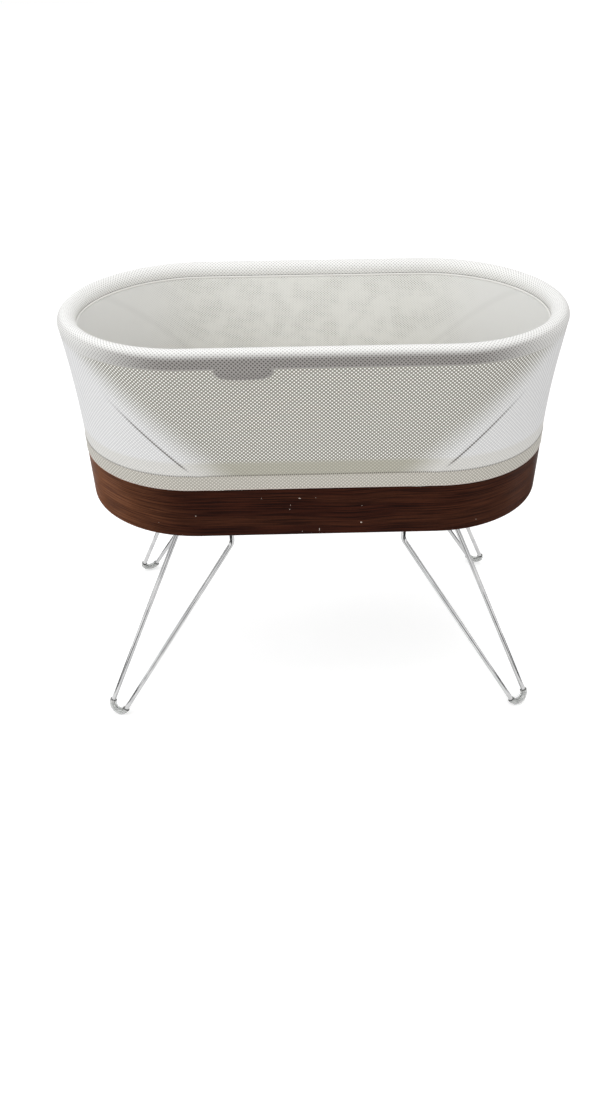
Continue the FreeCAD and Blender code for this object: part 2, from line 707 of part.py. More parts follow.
def platform_hub():
    """Steel cup over the bearing's outer race, with the flange that carries the platform."""
    r_out = BEARING_OUTER_R + HUB_WALL
    hub = cylinder(r_out, BEARING_BOTTOM - 1, PLATFORM_BOTTOM - HUB_FLANGE)
    hub = hub.fuse(cylinder(HUB_FLANGE_R, PLATFORM_BOTTOM - HUB_FLANGE, PLATFORM_BOTTOM))
    hub = hub.cut(cylinder(BEARING_OUTER_R, BEARING_BOTTOM - 1, BEARING_TOP))
    hub = hub.cut(cylinder(BEARING_OUTER_R - 3, BEARING_TOP, PLATFORM_BOTTOM - HUB_FLANGE - 2))
    return hub.cut(Part.makeCompound(hub_screws())).removeSplitter()


def platform():
    """Rocking plate under the mattress, with its rim edge rounded and air holes through it."""
    plate = oval_plate(PLATFORM_R, PLATFORM_BOTTOM, PLATFORM_TOP, PLATFORM_STRAIGHT)
    cuts = list(hub_screws())
    for i in range(-3, 4):
        for side in (-1, 1):
            if i:
                x, y = i * PLATFORM_STRAIGHT / 3.2, side * PLATFORM_R * 0.55
                cuts.append(cylinder(9.0, PLATFORM_BOTTOM, PLATFORM_TOP, x, y))
    plate = plate.cut(Part.makeCompound(cuts))
    rooms = [clip_screw(side) for side in (-1, 1)]
    return plate.cut(Part.makeCompound(rooms))


def sack_clip(side):
    """Moulded clip that stands beside the mattress and takes a sleep sack's loop."""
    width, thick, height = CLIP
    y = side * PLATFORM_R
    inner, outer = sorted((y, y + side * thick))
    blade = box(-width / 2, width / 2, inner, outer, PLATFORM_BOTTOM, PLATFORM_BOTTOM + height)
    top = PLATFORM_BOTTOM + height
    slot = box(-width / 2 + 7, width / 2 - 7, inner, outer, top - 14, top - 6)
    across = [e for e in blade.Edges if abs(e.tangentAt(e.FirstParameter).y) > 0.9]
    blade = blade.makeFillet(4.0, [e for e in across if e.CenterOfMass.z > PLATFORM_TOP])
    return blade.cut(slot).cut(clip_screw(side))


def clip_screw(side):
    """Screw through a clip into the platform's edge."""
    blank = screw(M4_R, 16.0, 3.4, 1.6).rotated(V(0, 0, 0), V(1, 0, 0), -90 * side)
    return blank.translated(V(0, side * (PLATFORM_R + CLIP[1]), (PLATFORM_BOTTOM + PLATFORM_TOP) / 2))


def mattress():
    """Foam mattress with rounded edges, loose on the platform."""
    z0, z1 = PLATFORM_TOP + GAP, PLATFORM_TOP + MATTRESS_THICK
    pad = oval_plate(MATTRESS_R, z0, z1, PLATFORM_STRAIGHT)
    pad = pad.makeFillet(MATTRESS_EDGE, [e for e in pad.Edges if e.BoundBox.ZMin > z1 - 0.01])
    return pad.makeFillet(MATTRESS_EDGE / 2, [e for e in pad.Edges if e.BoundBox.ZMax < z0 + 0.01])


def glide_places():
    return [(sx * GLIDE_X, sy * GLIDE_Y) for sx in (-1, 1) for sy in (-1, 1)]


def glide_posts():
    """Posts moulded with the pan, under the platform's ends."""
    top = PLATFORM_BOTTOM - GAP - GLIDE_PAD[1]
    posts = []
    for x, y in glide_places():
        foot = cylinder(GLIDE_POST_R + 6, PAN_FLOOR, PAN_FLOOR + 4, x, y)
        posts += [foot, cylinder(GLIDE_POST_R, PAN_FLOOR, top, x, y)]
    return posts


def glide_pads():
    """Slippery caps that steady the platform's ends."""
    top = PLATFORM_BOTTOM - GAP
    return [cylinder(GLIDE_PAD[0], top - GLIDE_PAD[1], top, x, y) for x, y in glide_places()]


# ---------------------------------------------------------------- drive


def involute_half_angle(radius, teeth):
    """Half the angle that a tooth covers at a radius, with its share of the backlash taken off."""
    pitch_r = MODULE * teeth / 2
    base_r = pitch_r * math.cos(PRESSURE)
    alpha = math.acos(min(1.0, base_r / max(radius, base_r)))
    inv = math.tan(PRESSURE) - PRESSURE - (math.tan(alpha) - alpha)
    return math.pi / (2 * teeth) - GEAR_BACKLASH / (4 * pitch_r) + inv


def tooth_points(teeth, centre_angle):
    """One tooth's outline from root to root, anticlockwise."""
    pitch_r = MODULE * teeth / 2
    root, tip = pitch_r - DEDENDUM * MODULE, pitch_r + ADDENDUM * MODULE
    steps = [root + (tip - root) * i / 6 for i in range(7)]
    low = [(r, centre_angle - involute_half_angle(r, teeth)) for r in steps]
    high = [(r, centre_angle + involute_half_angle(r, teeth)) for r in reversed(steps)]
    return [V(r * math.cos(a), r * math.sin(a), 0) for r, a in low + high]


def pinion():
    """Motor pinion. A gap faces the platform's axis at rest."""
    points = []
    for i in range(PINION_TEETH):
        points += tooth_points(PINION_TEETH, 2 * math.pi * (i + 0.5) / PINION_TEETH)
    face = Part.Face(Part.makePolygon(points + points[:1]))
    z0 = SECTOR_BOTTOM - (PINION_FACE - SECTOR_THICK) / 2
    gear = face.extrude(V(0, 0, PINION_FACE)).translated(V(PINION_X, 0, z0))
    return gear.cut(motor_shaft())


def motor_shaft():
    z0 = SECTOR_BOTTOM - (PINION_FACE - SECTOR_THICK) / 2
    top = z0 + PINION_FACE + 1
    return cylinder(SHAFT_R, motor_plate_z() - 14, top, PINION_X, 0)


def motor_plate_z():
    """Underside of the motor bracket's top plate."""
    return SECTOR_BOTTOM - (PINION_FACE - SECTOR_THICK) / 2 - 2.0 - MOTOR_PLATE


def sector_gear():
    """Toothed sector on an arm, clamped round the hub. One tooth faces the pinion at rest."""
    pitch = 2 * math.pi / SECTOR_TEETH
    points = []
    for i in range(-SECTOR_HALF_TEETH, SECTOR_HALF_TEETH + 1):
        points += tooth_points(SECTOR_TEETH, math.pi + i * pitch)
    half = (SECTOR_HALF_TEETH + 0.5) * pitch
    inner = SECTOR_PITCH_R - 14.0
    turns = (math.pi + half, math.pi, math.pi - half)
    points += [V(inner * math.cos(a), inner * math.sin(a), 0) for a in turns]
    teeth = Part.Face(Part.makePolygon(points + points[:1])).extrude(V(0, 0, SECTOR_THICK))
    collar_in = BEARING_OUTER_R + HUB_WALL
    arm = box(-inner - 6, -collar_in - 2, -16, 16, 0, SECTOR_THICK)
    body = teeth.fuse(arm).fuse(cylinder(collar_in + 9, 0, SECTOR_THICK))
    body = body.cut(cylinder(collar_in, 0, SECTOR_THICK))
    return body.translated(V(0, 0, SECTOR_BOTTOM)).removeSplitter()


def motor_bracket():
    """Folded steel bracket: a top plate on two legs, with feet screwed to the chassis."""
    h, t = MOTOR_PLATE_HALF, MOTOR_PLATE
    z1 = motor_plate_z() + t
    x = PINION_X
    body = box(x - h, x + h, -h, h, z1 - t, z1)
    for side in (-1, 1):
        y0, y1 = sorted((side * h, side * (h - t)))
        body = body.fuse(box(x - h, x + h, y0, y1, CHASSIS_TOP, z1))
        y0, y1 = sorted((side * (h - t), side * (h + 14)))
        body = body.fuse(box(x - h + 14, x + h, y0, y1, CHASSIS_TOP, CHASSIS_TOP + t))
    body = body.cut(cylinder(SHAFT_R + 2.0, z1 - t, z1, x, 0))
    return body.cut(Part.makeCompound(motor_feet_screws() + gearbox_screws())).removeSplitter()


def motor_feet_screws():
    blank = screw(M4_R, MOTOR_PLATE + CHASSIS[2], 3.6, 2.4)
    z = CHASSIS_TOP + MOTOR_PLATE
    side = MOTOR_PLATE_HALF + 7
    return [blank.translated(V(PINION_X + dx, dy, z)) for dx in (0.0, 22.0) for dy in (-side, side)]


def gearbox_screws():
    blank = screw(1.5, MOTOR_PLATE + 5, 2.6, 1.6)
    z = motor_plate_z() + MOTOR_PLATE
    turns = [math.radians(90 + 120 * i) for i in range(3)]
    return [blank.translated(V(PINION_X + 18 * math.cos(a), 18 * math.sin(a), z)) for a in turns]


def gearbox():
    r, height = GEARBOX
    z1 = motor_plate_z()
    body = cylinder(r, z1 - height, z1, PINION_X, 0)
    body = body.cut(cylinder(SHAFT_R + RUNNING, z1 - 14.5, z1, PINION_X, 0))
    return body.cut(Part.makeCompound(gearbox_screws()))


def motor_can():
    r, height = CAN
    z1 = motor_plate_z() - GEARBOX[1]
    z0 = max(z1 - height, CHASSIS_TOP + 1)
    body = cylinder(r, z0, z1, PINION_X, 0)
    rim = [e for e in body.Edges if e.BoundBox.ZMax < z0 + 0.01]
    return body.makeFillet(3.0, rim)


# ---------------------------------------------------------------- electrics


def standoff_places():
    x, y = BOARD_CENTRE
    return [(x + sx * (BOARD[0] - 6), y + sy * (BOARD[1] - 6)) for sx in (-1, 1) for sy in (-1, 1)]


def standoffs():
    z1 = CHASSIS_TOP + STANDOFF[1]
    posts = [cylinder(STANDOFF[0], CHASSIS_TOP, z1, x, y) for x, y in standoff_places()]
    return [p.cut(Part.makeCompound(standoff_screws())) for p in posts]


def standoff_screws():
    blank = screw(1.5, STANDOFF[1] + BOARD[2] + 2.0, 3.0, 1.8)
    z = CHASSIS_TOP + STANDOFF[1] + BOARD[2]
    return [blank.translated(V(x, y, z)) for x, y in standoff_places()]


def control_board():
    x, y = BOARD_CENTRE
    z0 = CHASSIS_TOP + STANDOFF[1]
    board = box(x - BOARD[0], x + BOARD[0], y - BOARD[1], y + BOARD[1], z0, z0 + BOARD[2])
    return board.cut(Part.makeCompound(standoff_screws()))


def board_components():
    """What stands on the board: processor, driver, radio can, connectors and capacitors."""
    x, y = BOARD_CENTRE
    z = CHASSIS_TOP + STANDOFF[1] + BOARD[2]
    made = []
    for dx, dy, w, d, h in (
        (-8, 4, 14, 14, 1.6),
        (14, 8, 10, 10, 1.4),
        (34, -14, 18, 14, 2.6),
        (-38, -6, 8, 20, 7.0),
        (8, -22, 24, 6, 7.0),
        (-22, -22, 12, 6, 7.0),
    ):
        made.append(box(x + dx - w / 2, x + dx + w / 2, y + dy - d / 2, y + dy + d / 2, z, z + h))
    made += [cylinder(4.0, z, z + 11, x - 26, y + dy) for dy in (2.0, 14.0)]
    return made


def speaker_frame():
    """Speaker basket and magnet, face down over the grille slots."""
    x, r = SPEAKER
    z0 = CHASSIS_TOP
    basket = Part.makeCone(r, r * 0.55, 16.0, V(x, 0, z0 + 3)).fuse(cylinder(r, z0, z0 + 3, x, 0))
    basket = basket.fuse(cylinder(r * 0.55, z0 + 19, z0 + 32, x, 0))
    return basket.cut(Part.makeCone(r - 5, 7, 15.0, V(x, 0, z0))).removeSplitter()


def speaker_cone():
    """Paper cone across the basket's mouth."""
    x, r = SPEAKER
    outside = Part.makeCone(r - 5, 7, 15.0, V(x, 0, CHASSIS_TOP))
    return outside.cut(Part.makeCone(r - 6.5, 5.5, 14.0, V(x, 0, CHASSIS_TOP)))


def inlet_jack():
    """Low-voltage inlet, its mouth facing down through the pan's floor."""
    x, y = INLET
    body = box(x - 7, x + 7, y - 8, y + 8, PAN_FLOOR, PAN_FLOOR + 14)
    body = body.fuse(cylinder(4.8, PAN_BOTTOM, PAN_FLOOR, x, y))
    body = body.cut(cylinder(3.2, PAN_BOTTOM, PAN_FLOOR + 10, x, y))
    return body.fuse(cylinder(1.0, PAN_BOTTOM + 1, PAN_FLOOR + 10, x, y)).removeSplitter()


def radio_switch_room():
    """Half length of the hollow that the slider's plate runs in."""
    return KNOB_HALF + RADIO_SWITCH_TRAVEL / 2 + 3 * GAP


def radio_switch_body():
    x, y = RADIO_SWITCH
    half = radio_switch_room()
    body = box(x - half - 3, x + half + 3, y - 5, y + 5, PAN_FLOOR, PAN_FLOOR + 8)
    return body.cut(box(x - half, x + half, y - 3, y + 3, PAN_FLOOR, PAN_FLOOR + 4))


def radio_switch_slider():
    """Sliding knob of the radio's off switch, reached from below. At rest it is at its -X end."""
    x = RADIO_SWITCH[0] - RADIO_SWITCH_TRAVEL / 2
    y = RADIO_SWITCH[1]
    half = KNOB_HALF + GAP
    plate = box(x - half, x + half, y - 2.7, y + 2.7, PAN_FLOOR + GAP, PAN_FLOOR + 4 - GAP)
    knob = box(x - KNOB_HALF, x + KNOB_HALF, y - 2.2, y + 2.2, PAN_BOTTOM + 1, PAN_FLOOR + 1)
    return plate.fuse(knob).removeSplitter()


def button_bezel():
    """Ring pressed into the band's bore, its lip on the band's face."""
    lip = rod_y(BUTTON_BORE_R + 2.5, BAND_R, BAND_R + BEZEL_LIP, 0, BUTTON_Z)
    sleeve = rod_y(BUTTON_BORE_R, PAN_R - PAN_WALL - BEZEL_SLEEVE, BAND_R, 0, BUTTON_Z)
    bore = rod_y(BUTTON_R + LIGHT_RING_WALL, 0, OVERALL_WIDTH, 0, BUTTON_Z)
    return lip.fuse(sleeve).removeSplitter().cut(bore)


def light_ring():
    """Clear ring between bezel and button that glows."""
    y0, y1 = PAN_R - PAN_WALL - BEZEL_SLEEVE, BAND_R + BEZEL_LIP
    ring = rod_y(BUTTON_R + LIGHT_RING_WALL, y0, y1, 0, BUTTON_Z)
    return ring.cut(rod_y(BUTTON_R + 0.2, y0, y1, 0, BUTTON_Z))


def power_button():
    """Round cap on a stem, pressed in towards the switch."""
    face = BAND_R + BEZEL_LIP + BUTTON_PROUD
    cap = rod_y(BUTTON_R, BAND_R - BUTTON_CAP, face, 0, BUTTON_Z)
    cap = cap.makeFillet(0.8, [e for e in cap.Edges if e.BoundBox.YMin > face - 0.1])
    return cap.fuse(rod_y(STEM_R, STEM_END, BAND_R - BUTTON_CAP, 0, BUTTON_Z)).removeSplitter()


def button_switch():
    """Push switch behind the button, on a carrier that closes the bezel's inner end."""
    y1 = SWITCH_FACE
    reach = BUTTON_BORE_R - 2
    body = box(-7, 7, y1 - 8, y1, BUTTON_Z - 7, BUTTON_Z + 7)
    carrier = rod_y(BUTTON_BORE_R, y1, y1 + CARRIER, 0, BUTTON_Z)
    carrier = carrier.cut(rod_y(BUTTON_BORE_R / 2, y1, y1 + CARRIER, 0, BUTTON_Z))
    bridge = box(-reach, reach, y1 - 2, y1, BUTTON_Z - 9, BUTTON_Z + 9)
    return body.fuse(bridge).fuse(carrier).removeSplitter()


def button_spring():
    """Return spring round the button's stem, between switch and cap."""
    wire_r, coil_r, turns = 0.5, STEM_R + 2.0, 5
    y0, y1 = SWITCH_FACE + wire_r, BAND_R - BUTTON_CAP - wire_r
    helix = Part.makeHelix((y1 - y0) / turns, y1 - y0, coil_r)
    section = Part.Wire(Part.Circle(V(coil_r, 0, 0), V(0, 1, 0), wire_r).toShape())
    coil = Part.Wire(helix.Edges).makePipeShell([section], True, True)
    return coil.rotated(V(0, 0, 0), V(1, 0, 0), -90).translated(V(0, y0, BUTTON_Z))


# ---------------------------------------------------------------- build


def build():
    os.makedirs("parts", exist_ok=True)
    # Rim and fabric.
    holes = Part.makeCompound(list(quadrants(strut_bar(STRUT_R + GAP)).values()))
    save("rim_tube", rim_tube())
    cover = outer_cover(holes)
    save("outer_cover", cover)
    save("rim_padding", rim_padding(holes, cover))
    save("inner_liner", inner_liner())
    save("seam_piping", seam_piping())
    save("hem_strip", hem_strip(holes))
    save("microphone_pod", microphone_pod())
    for where, shape in quadrants(strut()).items():
        save("strut_" + where, shape)
    save("strut_screws", quadrants(strut_screw()).values())
    # Base case.
    save("wood_band", wood_band())
    save("band_screws", band_screws())
    save("base_pan", base_pan())
    save("deck_ring", deck_ring())
    save("chassis_plate", chassis_plate())
    # Legs.
    for where, shape in quadrants(leg()).items():
        save("leg_" + where, shape)
    save("foot_pads", quadrants(foot_pad()).values())
    save("leg_sockets", quadrants(leg_socket()).values())
    save("socket_bolts", quadrants(Part.makeCompound(socket_bolts())).values())
    save("socket_grub_screws", quadrants(Part.makeCompound(grub_screws())).values())
    # Pivot and platform.
    inner_race, outer_race, balls = bearing_parts()
    save("pivot_post", pivot_post())
    save("post_screws", post_screws())
    save("bearing_inner_race", inner_race)
    save("bearing_balls", balls)
    save("pivot_nut", pivot_nut())
    save("bearing_outer_race", outer_race)
    save("platform_hub", platform_hub())
    save("hub_screws", hub_screws())
    save("platform", platform())
    save("sack_clips", [sack_clip(-1), sack_clip(1)])
    save("clip_screws", [clip_screw(-1), clip_screw(1)])
    save("glide_pads", glide_pads())
    save("mattress", mattress())
    # Drive.
    save("sector_gear", sector_gear())
    save("pinion", pinion())
    save("motor_shaft", motor_shaft())
    save("motor_bracket", motor_bracket())
    save("bracket_screws", motor_feet_screws() + gearbox_screws())
    save("gearbox", gearbox())
    save("motor_can", motor_can())
    # Electrics.
    save("control_board", control_board())
    save("board_components", board_components())
    save("board_standoffs", standoffs())
    save("board_screws", standoff_screws())
    save("speaker_frame", speaker_frame())
    save("speaker_cone", speaker_cone())
    save("inlet_jack", inlet_jack())
    save("radio_switch_body", radio_switch_body())
    save("radio_switch_slider", radio_switch_slider())
    save("button_bezel", button_bezel())
    save("light_ring", light_ring())
    save("power_button", power_button())
    save("button_switch", button_switch())
    save("button_spring", button_spring())


build()
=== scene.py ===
import math
import random

import bmesh
import bpy
from mathutils import Matrix, Vector, noise
from mathutils.bvhtree import BVHTree


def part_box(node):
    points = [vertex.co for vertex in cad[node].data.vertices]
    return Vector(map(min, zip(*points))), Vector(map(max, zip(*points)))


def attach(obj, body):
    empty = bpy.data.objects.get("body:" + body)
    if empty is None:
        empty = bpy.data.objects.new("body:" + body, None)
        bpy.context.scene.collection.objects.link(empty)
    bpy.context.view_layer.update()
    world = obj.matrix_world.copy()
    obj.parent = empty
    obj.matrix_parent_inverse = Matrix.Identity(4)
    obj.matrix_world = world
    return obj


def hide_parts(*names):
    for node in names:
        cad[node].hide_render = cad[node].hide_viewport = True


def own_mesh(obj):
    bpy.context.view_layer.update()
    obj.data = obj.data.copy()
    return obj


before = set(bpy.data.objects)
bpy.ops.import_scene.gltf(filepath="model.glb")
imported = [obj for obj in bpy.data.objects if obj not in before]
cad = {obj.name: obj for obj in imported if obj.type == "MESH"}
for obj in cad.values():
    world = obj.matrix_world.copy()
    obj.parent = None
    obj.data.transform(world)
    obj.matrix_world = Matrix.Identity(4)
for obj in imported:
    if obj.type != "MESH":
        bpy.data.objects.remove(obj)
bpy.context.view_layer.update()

# Studio: a pale seamless floor, soft light from above and a little more from the left.
# The camera stands at a person's eye height in front of the bassinet and looks down at it.
# Black flags stand and lie round the set. Only polished metal sees them, and they give the chrome its
# dark streaks.

bpy.context.scene.view_settings.view_transform = "Standard"
camera = bpy.data.objects.new("camera", bpy.data.cameras.new("camera"))
camera.data.lens = 27.28
camera.data.sensor_width = 36.0
camera.data.clip_start = 0.01
bpy.context.scene.collection.objects.link(camera)
bpy.context.scene.camera = camera
CAMERA_PLACE = Vector((-0.0389, -1.4682, 1.2941))
YAW, PITCH, ROLL = 0.016, 0.624, -0.013
ahead = Vector((math.sin(YAW) * math.cos(PITCH), math.cos(YAW) * math.cos(PITCH), -math.sin(PITCH)))
level = Vector((math.cos(YAW), -math.sin(YAW), 0))
upward = level.cross(ahead)
across = level * math.cos(ROLL) + upward * math.sin(ROLL)
above = upward * math.cos(ROLL) - level * math.sin(ROLL)
camera.matrix_world = Matrix.Translation(CAMERA_PLACE) @ Matrix((across, above,
        -ahead)).transposed().to_4x4()


def put(tree, kind, inputs=None, **settings):
    """Adds a node. An input is a value, or a socket to link from."""
    made = tree.nodes.new(kind)
    for name, value in settings.items():
        setattr(made, name, value)
    for name, value in (inputs or {}).items():
        if isinstance(value, bpy.types.NodeSocket):
            tree.links.new(value, made.inputs[name])
        else:
            made.inputs[name].default_value = value
    return made


def calc(tree, operation, *values, clamp=False):
    """A Math node's result."""
    made = tree.nodes.new("ShaderNodeMath")
    made.operation = operation
    made.use_clamp = clamp
    for socket, value in zip(made.inputs, values):
        if isinstance(value, bpy.types.NodeSocket):
            tree.links.new(value, socket)
        else:
            socket.default_value = value
    return made.outputs[0]


def ramp(tree, value, low, high, to_low=0.0, to_high=1.0):
    """Carries value smoothly from to_low to to_high as it goes from low to high."""
    inputs = {"Value": value, "From Min": low, "From Max": high, "To Min": to_low, "To Max": to_high}
    return put(tree, "ShaderNodeMapRange", inputs, interpolation_type="SMOOTHSTEP").outputs["Result"]


def blend_colour(tree, factor, first, second):
    """A colour between first and second."""
    made = tree.nodes.new("ShaderNodeMix")
    made.data_type = "RGBA"
    for index, value in ((0, factor), (6, first), (7, second)):
        if isinstance(value, bpy.types.NodeSocket):
            tree.links.new(value, made.inputs[index])
        else:
            made.inputs[index].default_value = value
    return made.outputs[2]


def colour(red, green, blue):
    """A screen colour from 0 to 255, as the linear colour that a shader takes."""
    parts = [c / 255 for c in (red, green, blue)]
    return [c / 12.92 if c <= 0.04045 else ((c + 0.055) / 1.055) ** 2.4 for c in parts] + [1.0]


def material(name):
    """A new node material: returns it, its tree and its Principled shader."""
    made = bpy.data.materials.new(name)
    made.use_nodes = True
    return made, made.node_tree, made.node_tree.nodes["Principled BSDF"]


def object_place(tree):
    """A place in the object's own coordinates."""
    return put(tree, "ShaderNodeTexCoord").outputs["Object"]


def dye(tree, shader, factor, first, second):
    """Gives the shader a colour between first and second."""
    tree.links.new(blend_colour(tree, factor, first, second), shader.inputs["Base Color"])


def emboss(tree, shader, height, strength, distance):
    """Gives the shader a relief: a height of 1 stands distance metres proud."""
    bump = put(tree, "ShaderNodeBump", {"Height": height, "Strength": strength, "Distance": distance})
    tree.links.new(bump.outputs[0], shader.inputs["Normal"])


def mesh_object(name, points, faces, smooth=True):
    """A new mesh object in the scene."""
    mesh = bpy.data.meshes.new(name)
    mesh.from_pydata([tuple(p) for p in points], [], faces)
    mesh.update()
    made = bpy.data.objects.new(name, mesh)
    bpy.context.scene.collection.objects.link(made)
    mesh.polygons.foreach_set("use_smooth", [smooth] * len(mesh.polygons))
    return made


def seen_directly(tree):
    """1 for a ray from the camera, or by way of metal or glass."""
    path = put(tree, "ShaderNodeLightPath")
    seen = calc(tree, "MAXIMUM", path.outputs["Is Camera Ray"], path.outputs["Is Glossy Ray"])
    return calc(tree, "MAXIMUM", seen, path.outputs["Is Transmission Ray"])


FLOOR_HALF = 30.0
floor = mesh_object("floor",
                    [(-FLOOR_HALF, -FLOOR_HALF, 0), (FLOOR_HALF, -FLOOR_HALF, 0),
                     (FLOOR_HALF, FLOOR_HALF, 0), (-FLOOR_HALF, FLOOR_HALF, 0)], [(0, 1, 2, 3)])
floor_paint, tree, shader = material("floor_paint")
shader.inputs["Base Color"].default_value = (0.80, 0.80, 0.80, 1)
shader.inputs["Roughness"].default_value = 0.9
glow = put(tree, "ShaderNodeEmission",
           {"Color": (1, 1, 1, 1), "Strength": calc(tree, "MULTIPLY", seen_directly(tree), 0.45)})
both = put(tree, "ShaderNodeAddShader", {0: shader.outputs[0], 1: glow.outputs[0]})
tree.links.new(both.outputs[0], tree.nodes["Material Output"].inputs["Surface"])
floor.data.materials.append(floor_paint)

world = bpy.data.worlds.new("studio")
bpy.context.scene.world = world
world.use_nodes = True
tree = world.node_tree
background = tree.nodes["Background"]
background.inputs["Color"].default_value = (1.0, 1.0, 1.0, 1)
tree.links.new(ramp(tree, seen_directly(tree), 0, 1, 0.74, 1.0), background.inputs["Strength"])


def softbox(name, place, target, size, power, tint):
    """A square area lamp that faces its target."""
    lamp = bpy.data.lights.new(name, "AREA")
    lamp.shape = "SQUARE"
    lamp.size = size
    lamp.energy = power
    lamp.color = tint
    made = bpy.data.objects.new(name, lamp)
    made.location = place
    made.rotation_euler = (Vector(target) - Vector(place)).to_track_quat("-Z", "Y").to_euler()
    bpy.context.scene.collection.objects.link(made)


softbox("overhead", (0.0, 0.3, 3.2), (0, 0, 0.5), 2.6, 22, (1, 1, 1))
softbox("left_window", (-2.8, -0.6, 1.9), (0, 0, 0.55), 1.8, 22, (0.97, 0.985, 1))
softbox("front_fill", (0.6, -3.2, 2.2), (0, 0, 0.5), 2.2, 24, (1, 0.985, 0.96))

flag_paint, tree, shader = material("flag_paint")
shader.inputs["Base Color"].default_value = (0.012, 0.012, 0.012, 1)
shader.inputs["Roughness"].default_value = 1.0
FLAGS, FLAG_REACH, FLAG_HALF, FLAG_HEIGHT = 10, 2.1, 0.26, 1.9
points, faces = [], []
for i in range(FLAGS):
    a = 2 * math.pi * (i + 0.5) / FLAGS
    out, way = Vector((math.cos(a), math.sin(a), 0)), Vector((-math.sin(a), math.cos(a), 0))
    for centre, rise in ((out * FLAG_REACH + Vector((0, 0, 0.3)), Vector((0, 0, FLAG_HEIGHT))),
                         (out * 0.75 + Vector((0, 0, 0.002)), out * 0.7)):
        first = len(points)
        points += [centre - way * FLAG_HALF, centre + way * FLAG_HALF, centre + way * FLAG_HALF + rise,
                   centre - way * FLAG_HALF + rise]
        faces.append((first, first + 1, first + 2, first + 3))
flags = mesh_object("flags", points, faces)
flags.data.materials.append(flag_paint)
flags.visible_camera = flags.visible_diffuse = flags.visible_shadow = flags.visible_transmission = False

# Base band: a bent plywood oval faced with walnut veneer, its grain running along the band, under a
# satin lacquer. The veneer meets itself at the rear middle. It is screwed on from inside the pan.
# The band's ends are painted lighter, the left end most, as painted light from the side, and the front is
# painted darker as painted shade. The front carries small chips where the pale core shows.

HALF_STRAIGHT = 0.2145


def group(name, inputs, outputs):
    """A new shader node group with named sockets: returns its tree, input node and output node."""
    made = bpy.data.node_groups.new(name, "ShaderNodeTree")
    for socket, kind in inputs:
        made.interface.new_socket(socket, in_out="INPUT", socket_type="NodeSocket" + kind)
    for socket, kind in outputs:
        made.interface.new_socket(socket, in_out="OUTPUT", socket_type="NodeSocket" + kind)
    return made, made.nodes.new("NodeGroupInput"), made.nodes.new("NodeGroupOutput")


def use_group(tree, made, inputs=None):
    """Places a node group in a material."""
    placed = tree.nodes.new("ShaderNodeGroup")
    placed.node_tree = made
    for name, value in (inputs or {}).items():
        if isinstance(value, bpy.types.NodeSocket):
            tree.links.new(value, placed.inputs[name])
        else:
            placed.inputs[name].default_value = value
    return placed


# The way along the oval, in metres from the front middle, for anything that runs round it.
oval_way, give, take = group("oval_way", [],
                             [("Along", "Float"), ("Height", "Float"), ("Vector", "Vector")])
place = put(oval_way, "ShaderNodeSeparateXYZ", {0: object_place(oval_way)})
x, y, z = place.outputs
on_straight = calc(oval_way, "MAXIMUM", calc(oval_way, "MINIMUM", x, HALF_STRAIGHT), -HALF_STRAIGHT)
past_end = calc(oval_way, "SUBTRACT", x, on_straight)
turned = calc(oval_way, "ARCTAN2", past_end, calc(oval_way, "MULTIPLY", y, -1.0))
rear = calc(oval_way, "GREATER_THAN", y, 0.0)
side = calc(oval_way, "SIGN", x)
turned = calc(oval_way, "MULTIPLY", calc(oval_way, "ABSOLUTE", turned), side)
front_part = calc(oval_way, "ADD", on_straight, calc(oval_way, "MULTIPLY", turned, 0.2285))
back_start = calc(oval_way, "MULTIPLY", side, 2 * HALF_STRAIGHT)
back_part = calc(oval_way, "ADD", calc(oval_way, "SUBTRACT", back_start, on_straight),
                 calc(oval_way, "MULTIPLY", turned, 0.2285))
along = put(oval_way, "ShaderNodeMix", {0: rear, 2: front_part, 3: back_part}).outputs[0]
oval_way.links.new(along, take.inputs["Along"])
oval_way.links.new(z, take.inputs["Height"])
oval_way.links.new(put(oval_way, "ShaderNodeCombineXYZ", {0: along, 1: z, 2: 0.0}).outputs[0],
                   take.inputs["Vector"])

# Grain: long streaks along X of the vector, with fine pores.
grain, give, take = group("grain", [("Vector", "Vector"), ("Streak", "Float"), ("Across", "Float")],
                          [("Figure", "Float"), ("Streaks", "Float"), ("Pores", "Float")])
wander = put(grain, "ShaderNodeTexNoise",
             {"Vector": give.outputs["Vector"], "Scale": 3.0, "Detail": 2.0}).outputs[0]
parts = put(grain, "ShaderNodeSeparateXYZ", {0: give.outputs["Vector"]})
bent = calc(grain, "ADD", parts.outputs[1],
            calc(grain, "MULTIPLY", calc(grain, "SUBTRACT", wander, 0.5), 0.03))


def streak_noise(tree, along_scale, across_scale, detail):
    """Noise drawn out along the grain."""
    first = calc(tree, "MULTIPLY", parts.outputs[0], along_scale)
    second = calc(tree, "MULTIPLY", bent, across_scale)
    vector = put(tree, "ShaderNodeCombineXYZ", {0: first, 1: second, 2: 0.0}).outputs[0]
    return put(tree, "ShaderNodeTexNoise",
               {"Vector": vector, "Scale": 1.0, "Detail": detail, "Roughness": 0.6}).outputs[0]


figure = streak_noise(grain, 2.2, 34.0, 3.0)
streaks = streak_noise(grain, give.outputs["Streak"], give.outputs["Across"], 4.0)
pores = ramp(grain, streak_noise(grain, 90.0, 1500.0, 1.0), 0.60, 0.72)
for name, value in (("Figure", figure), ("Streaks", streaks), ("Pores", pores)):
    grain.links.new(value, take.inputs[name])

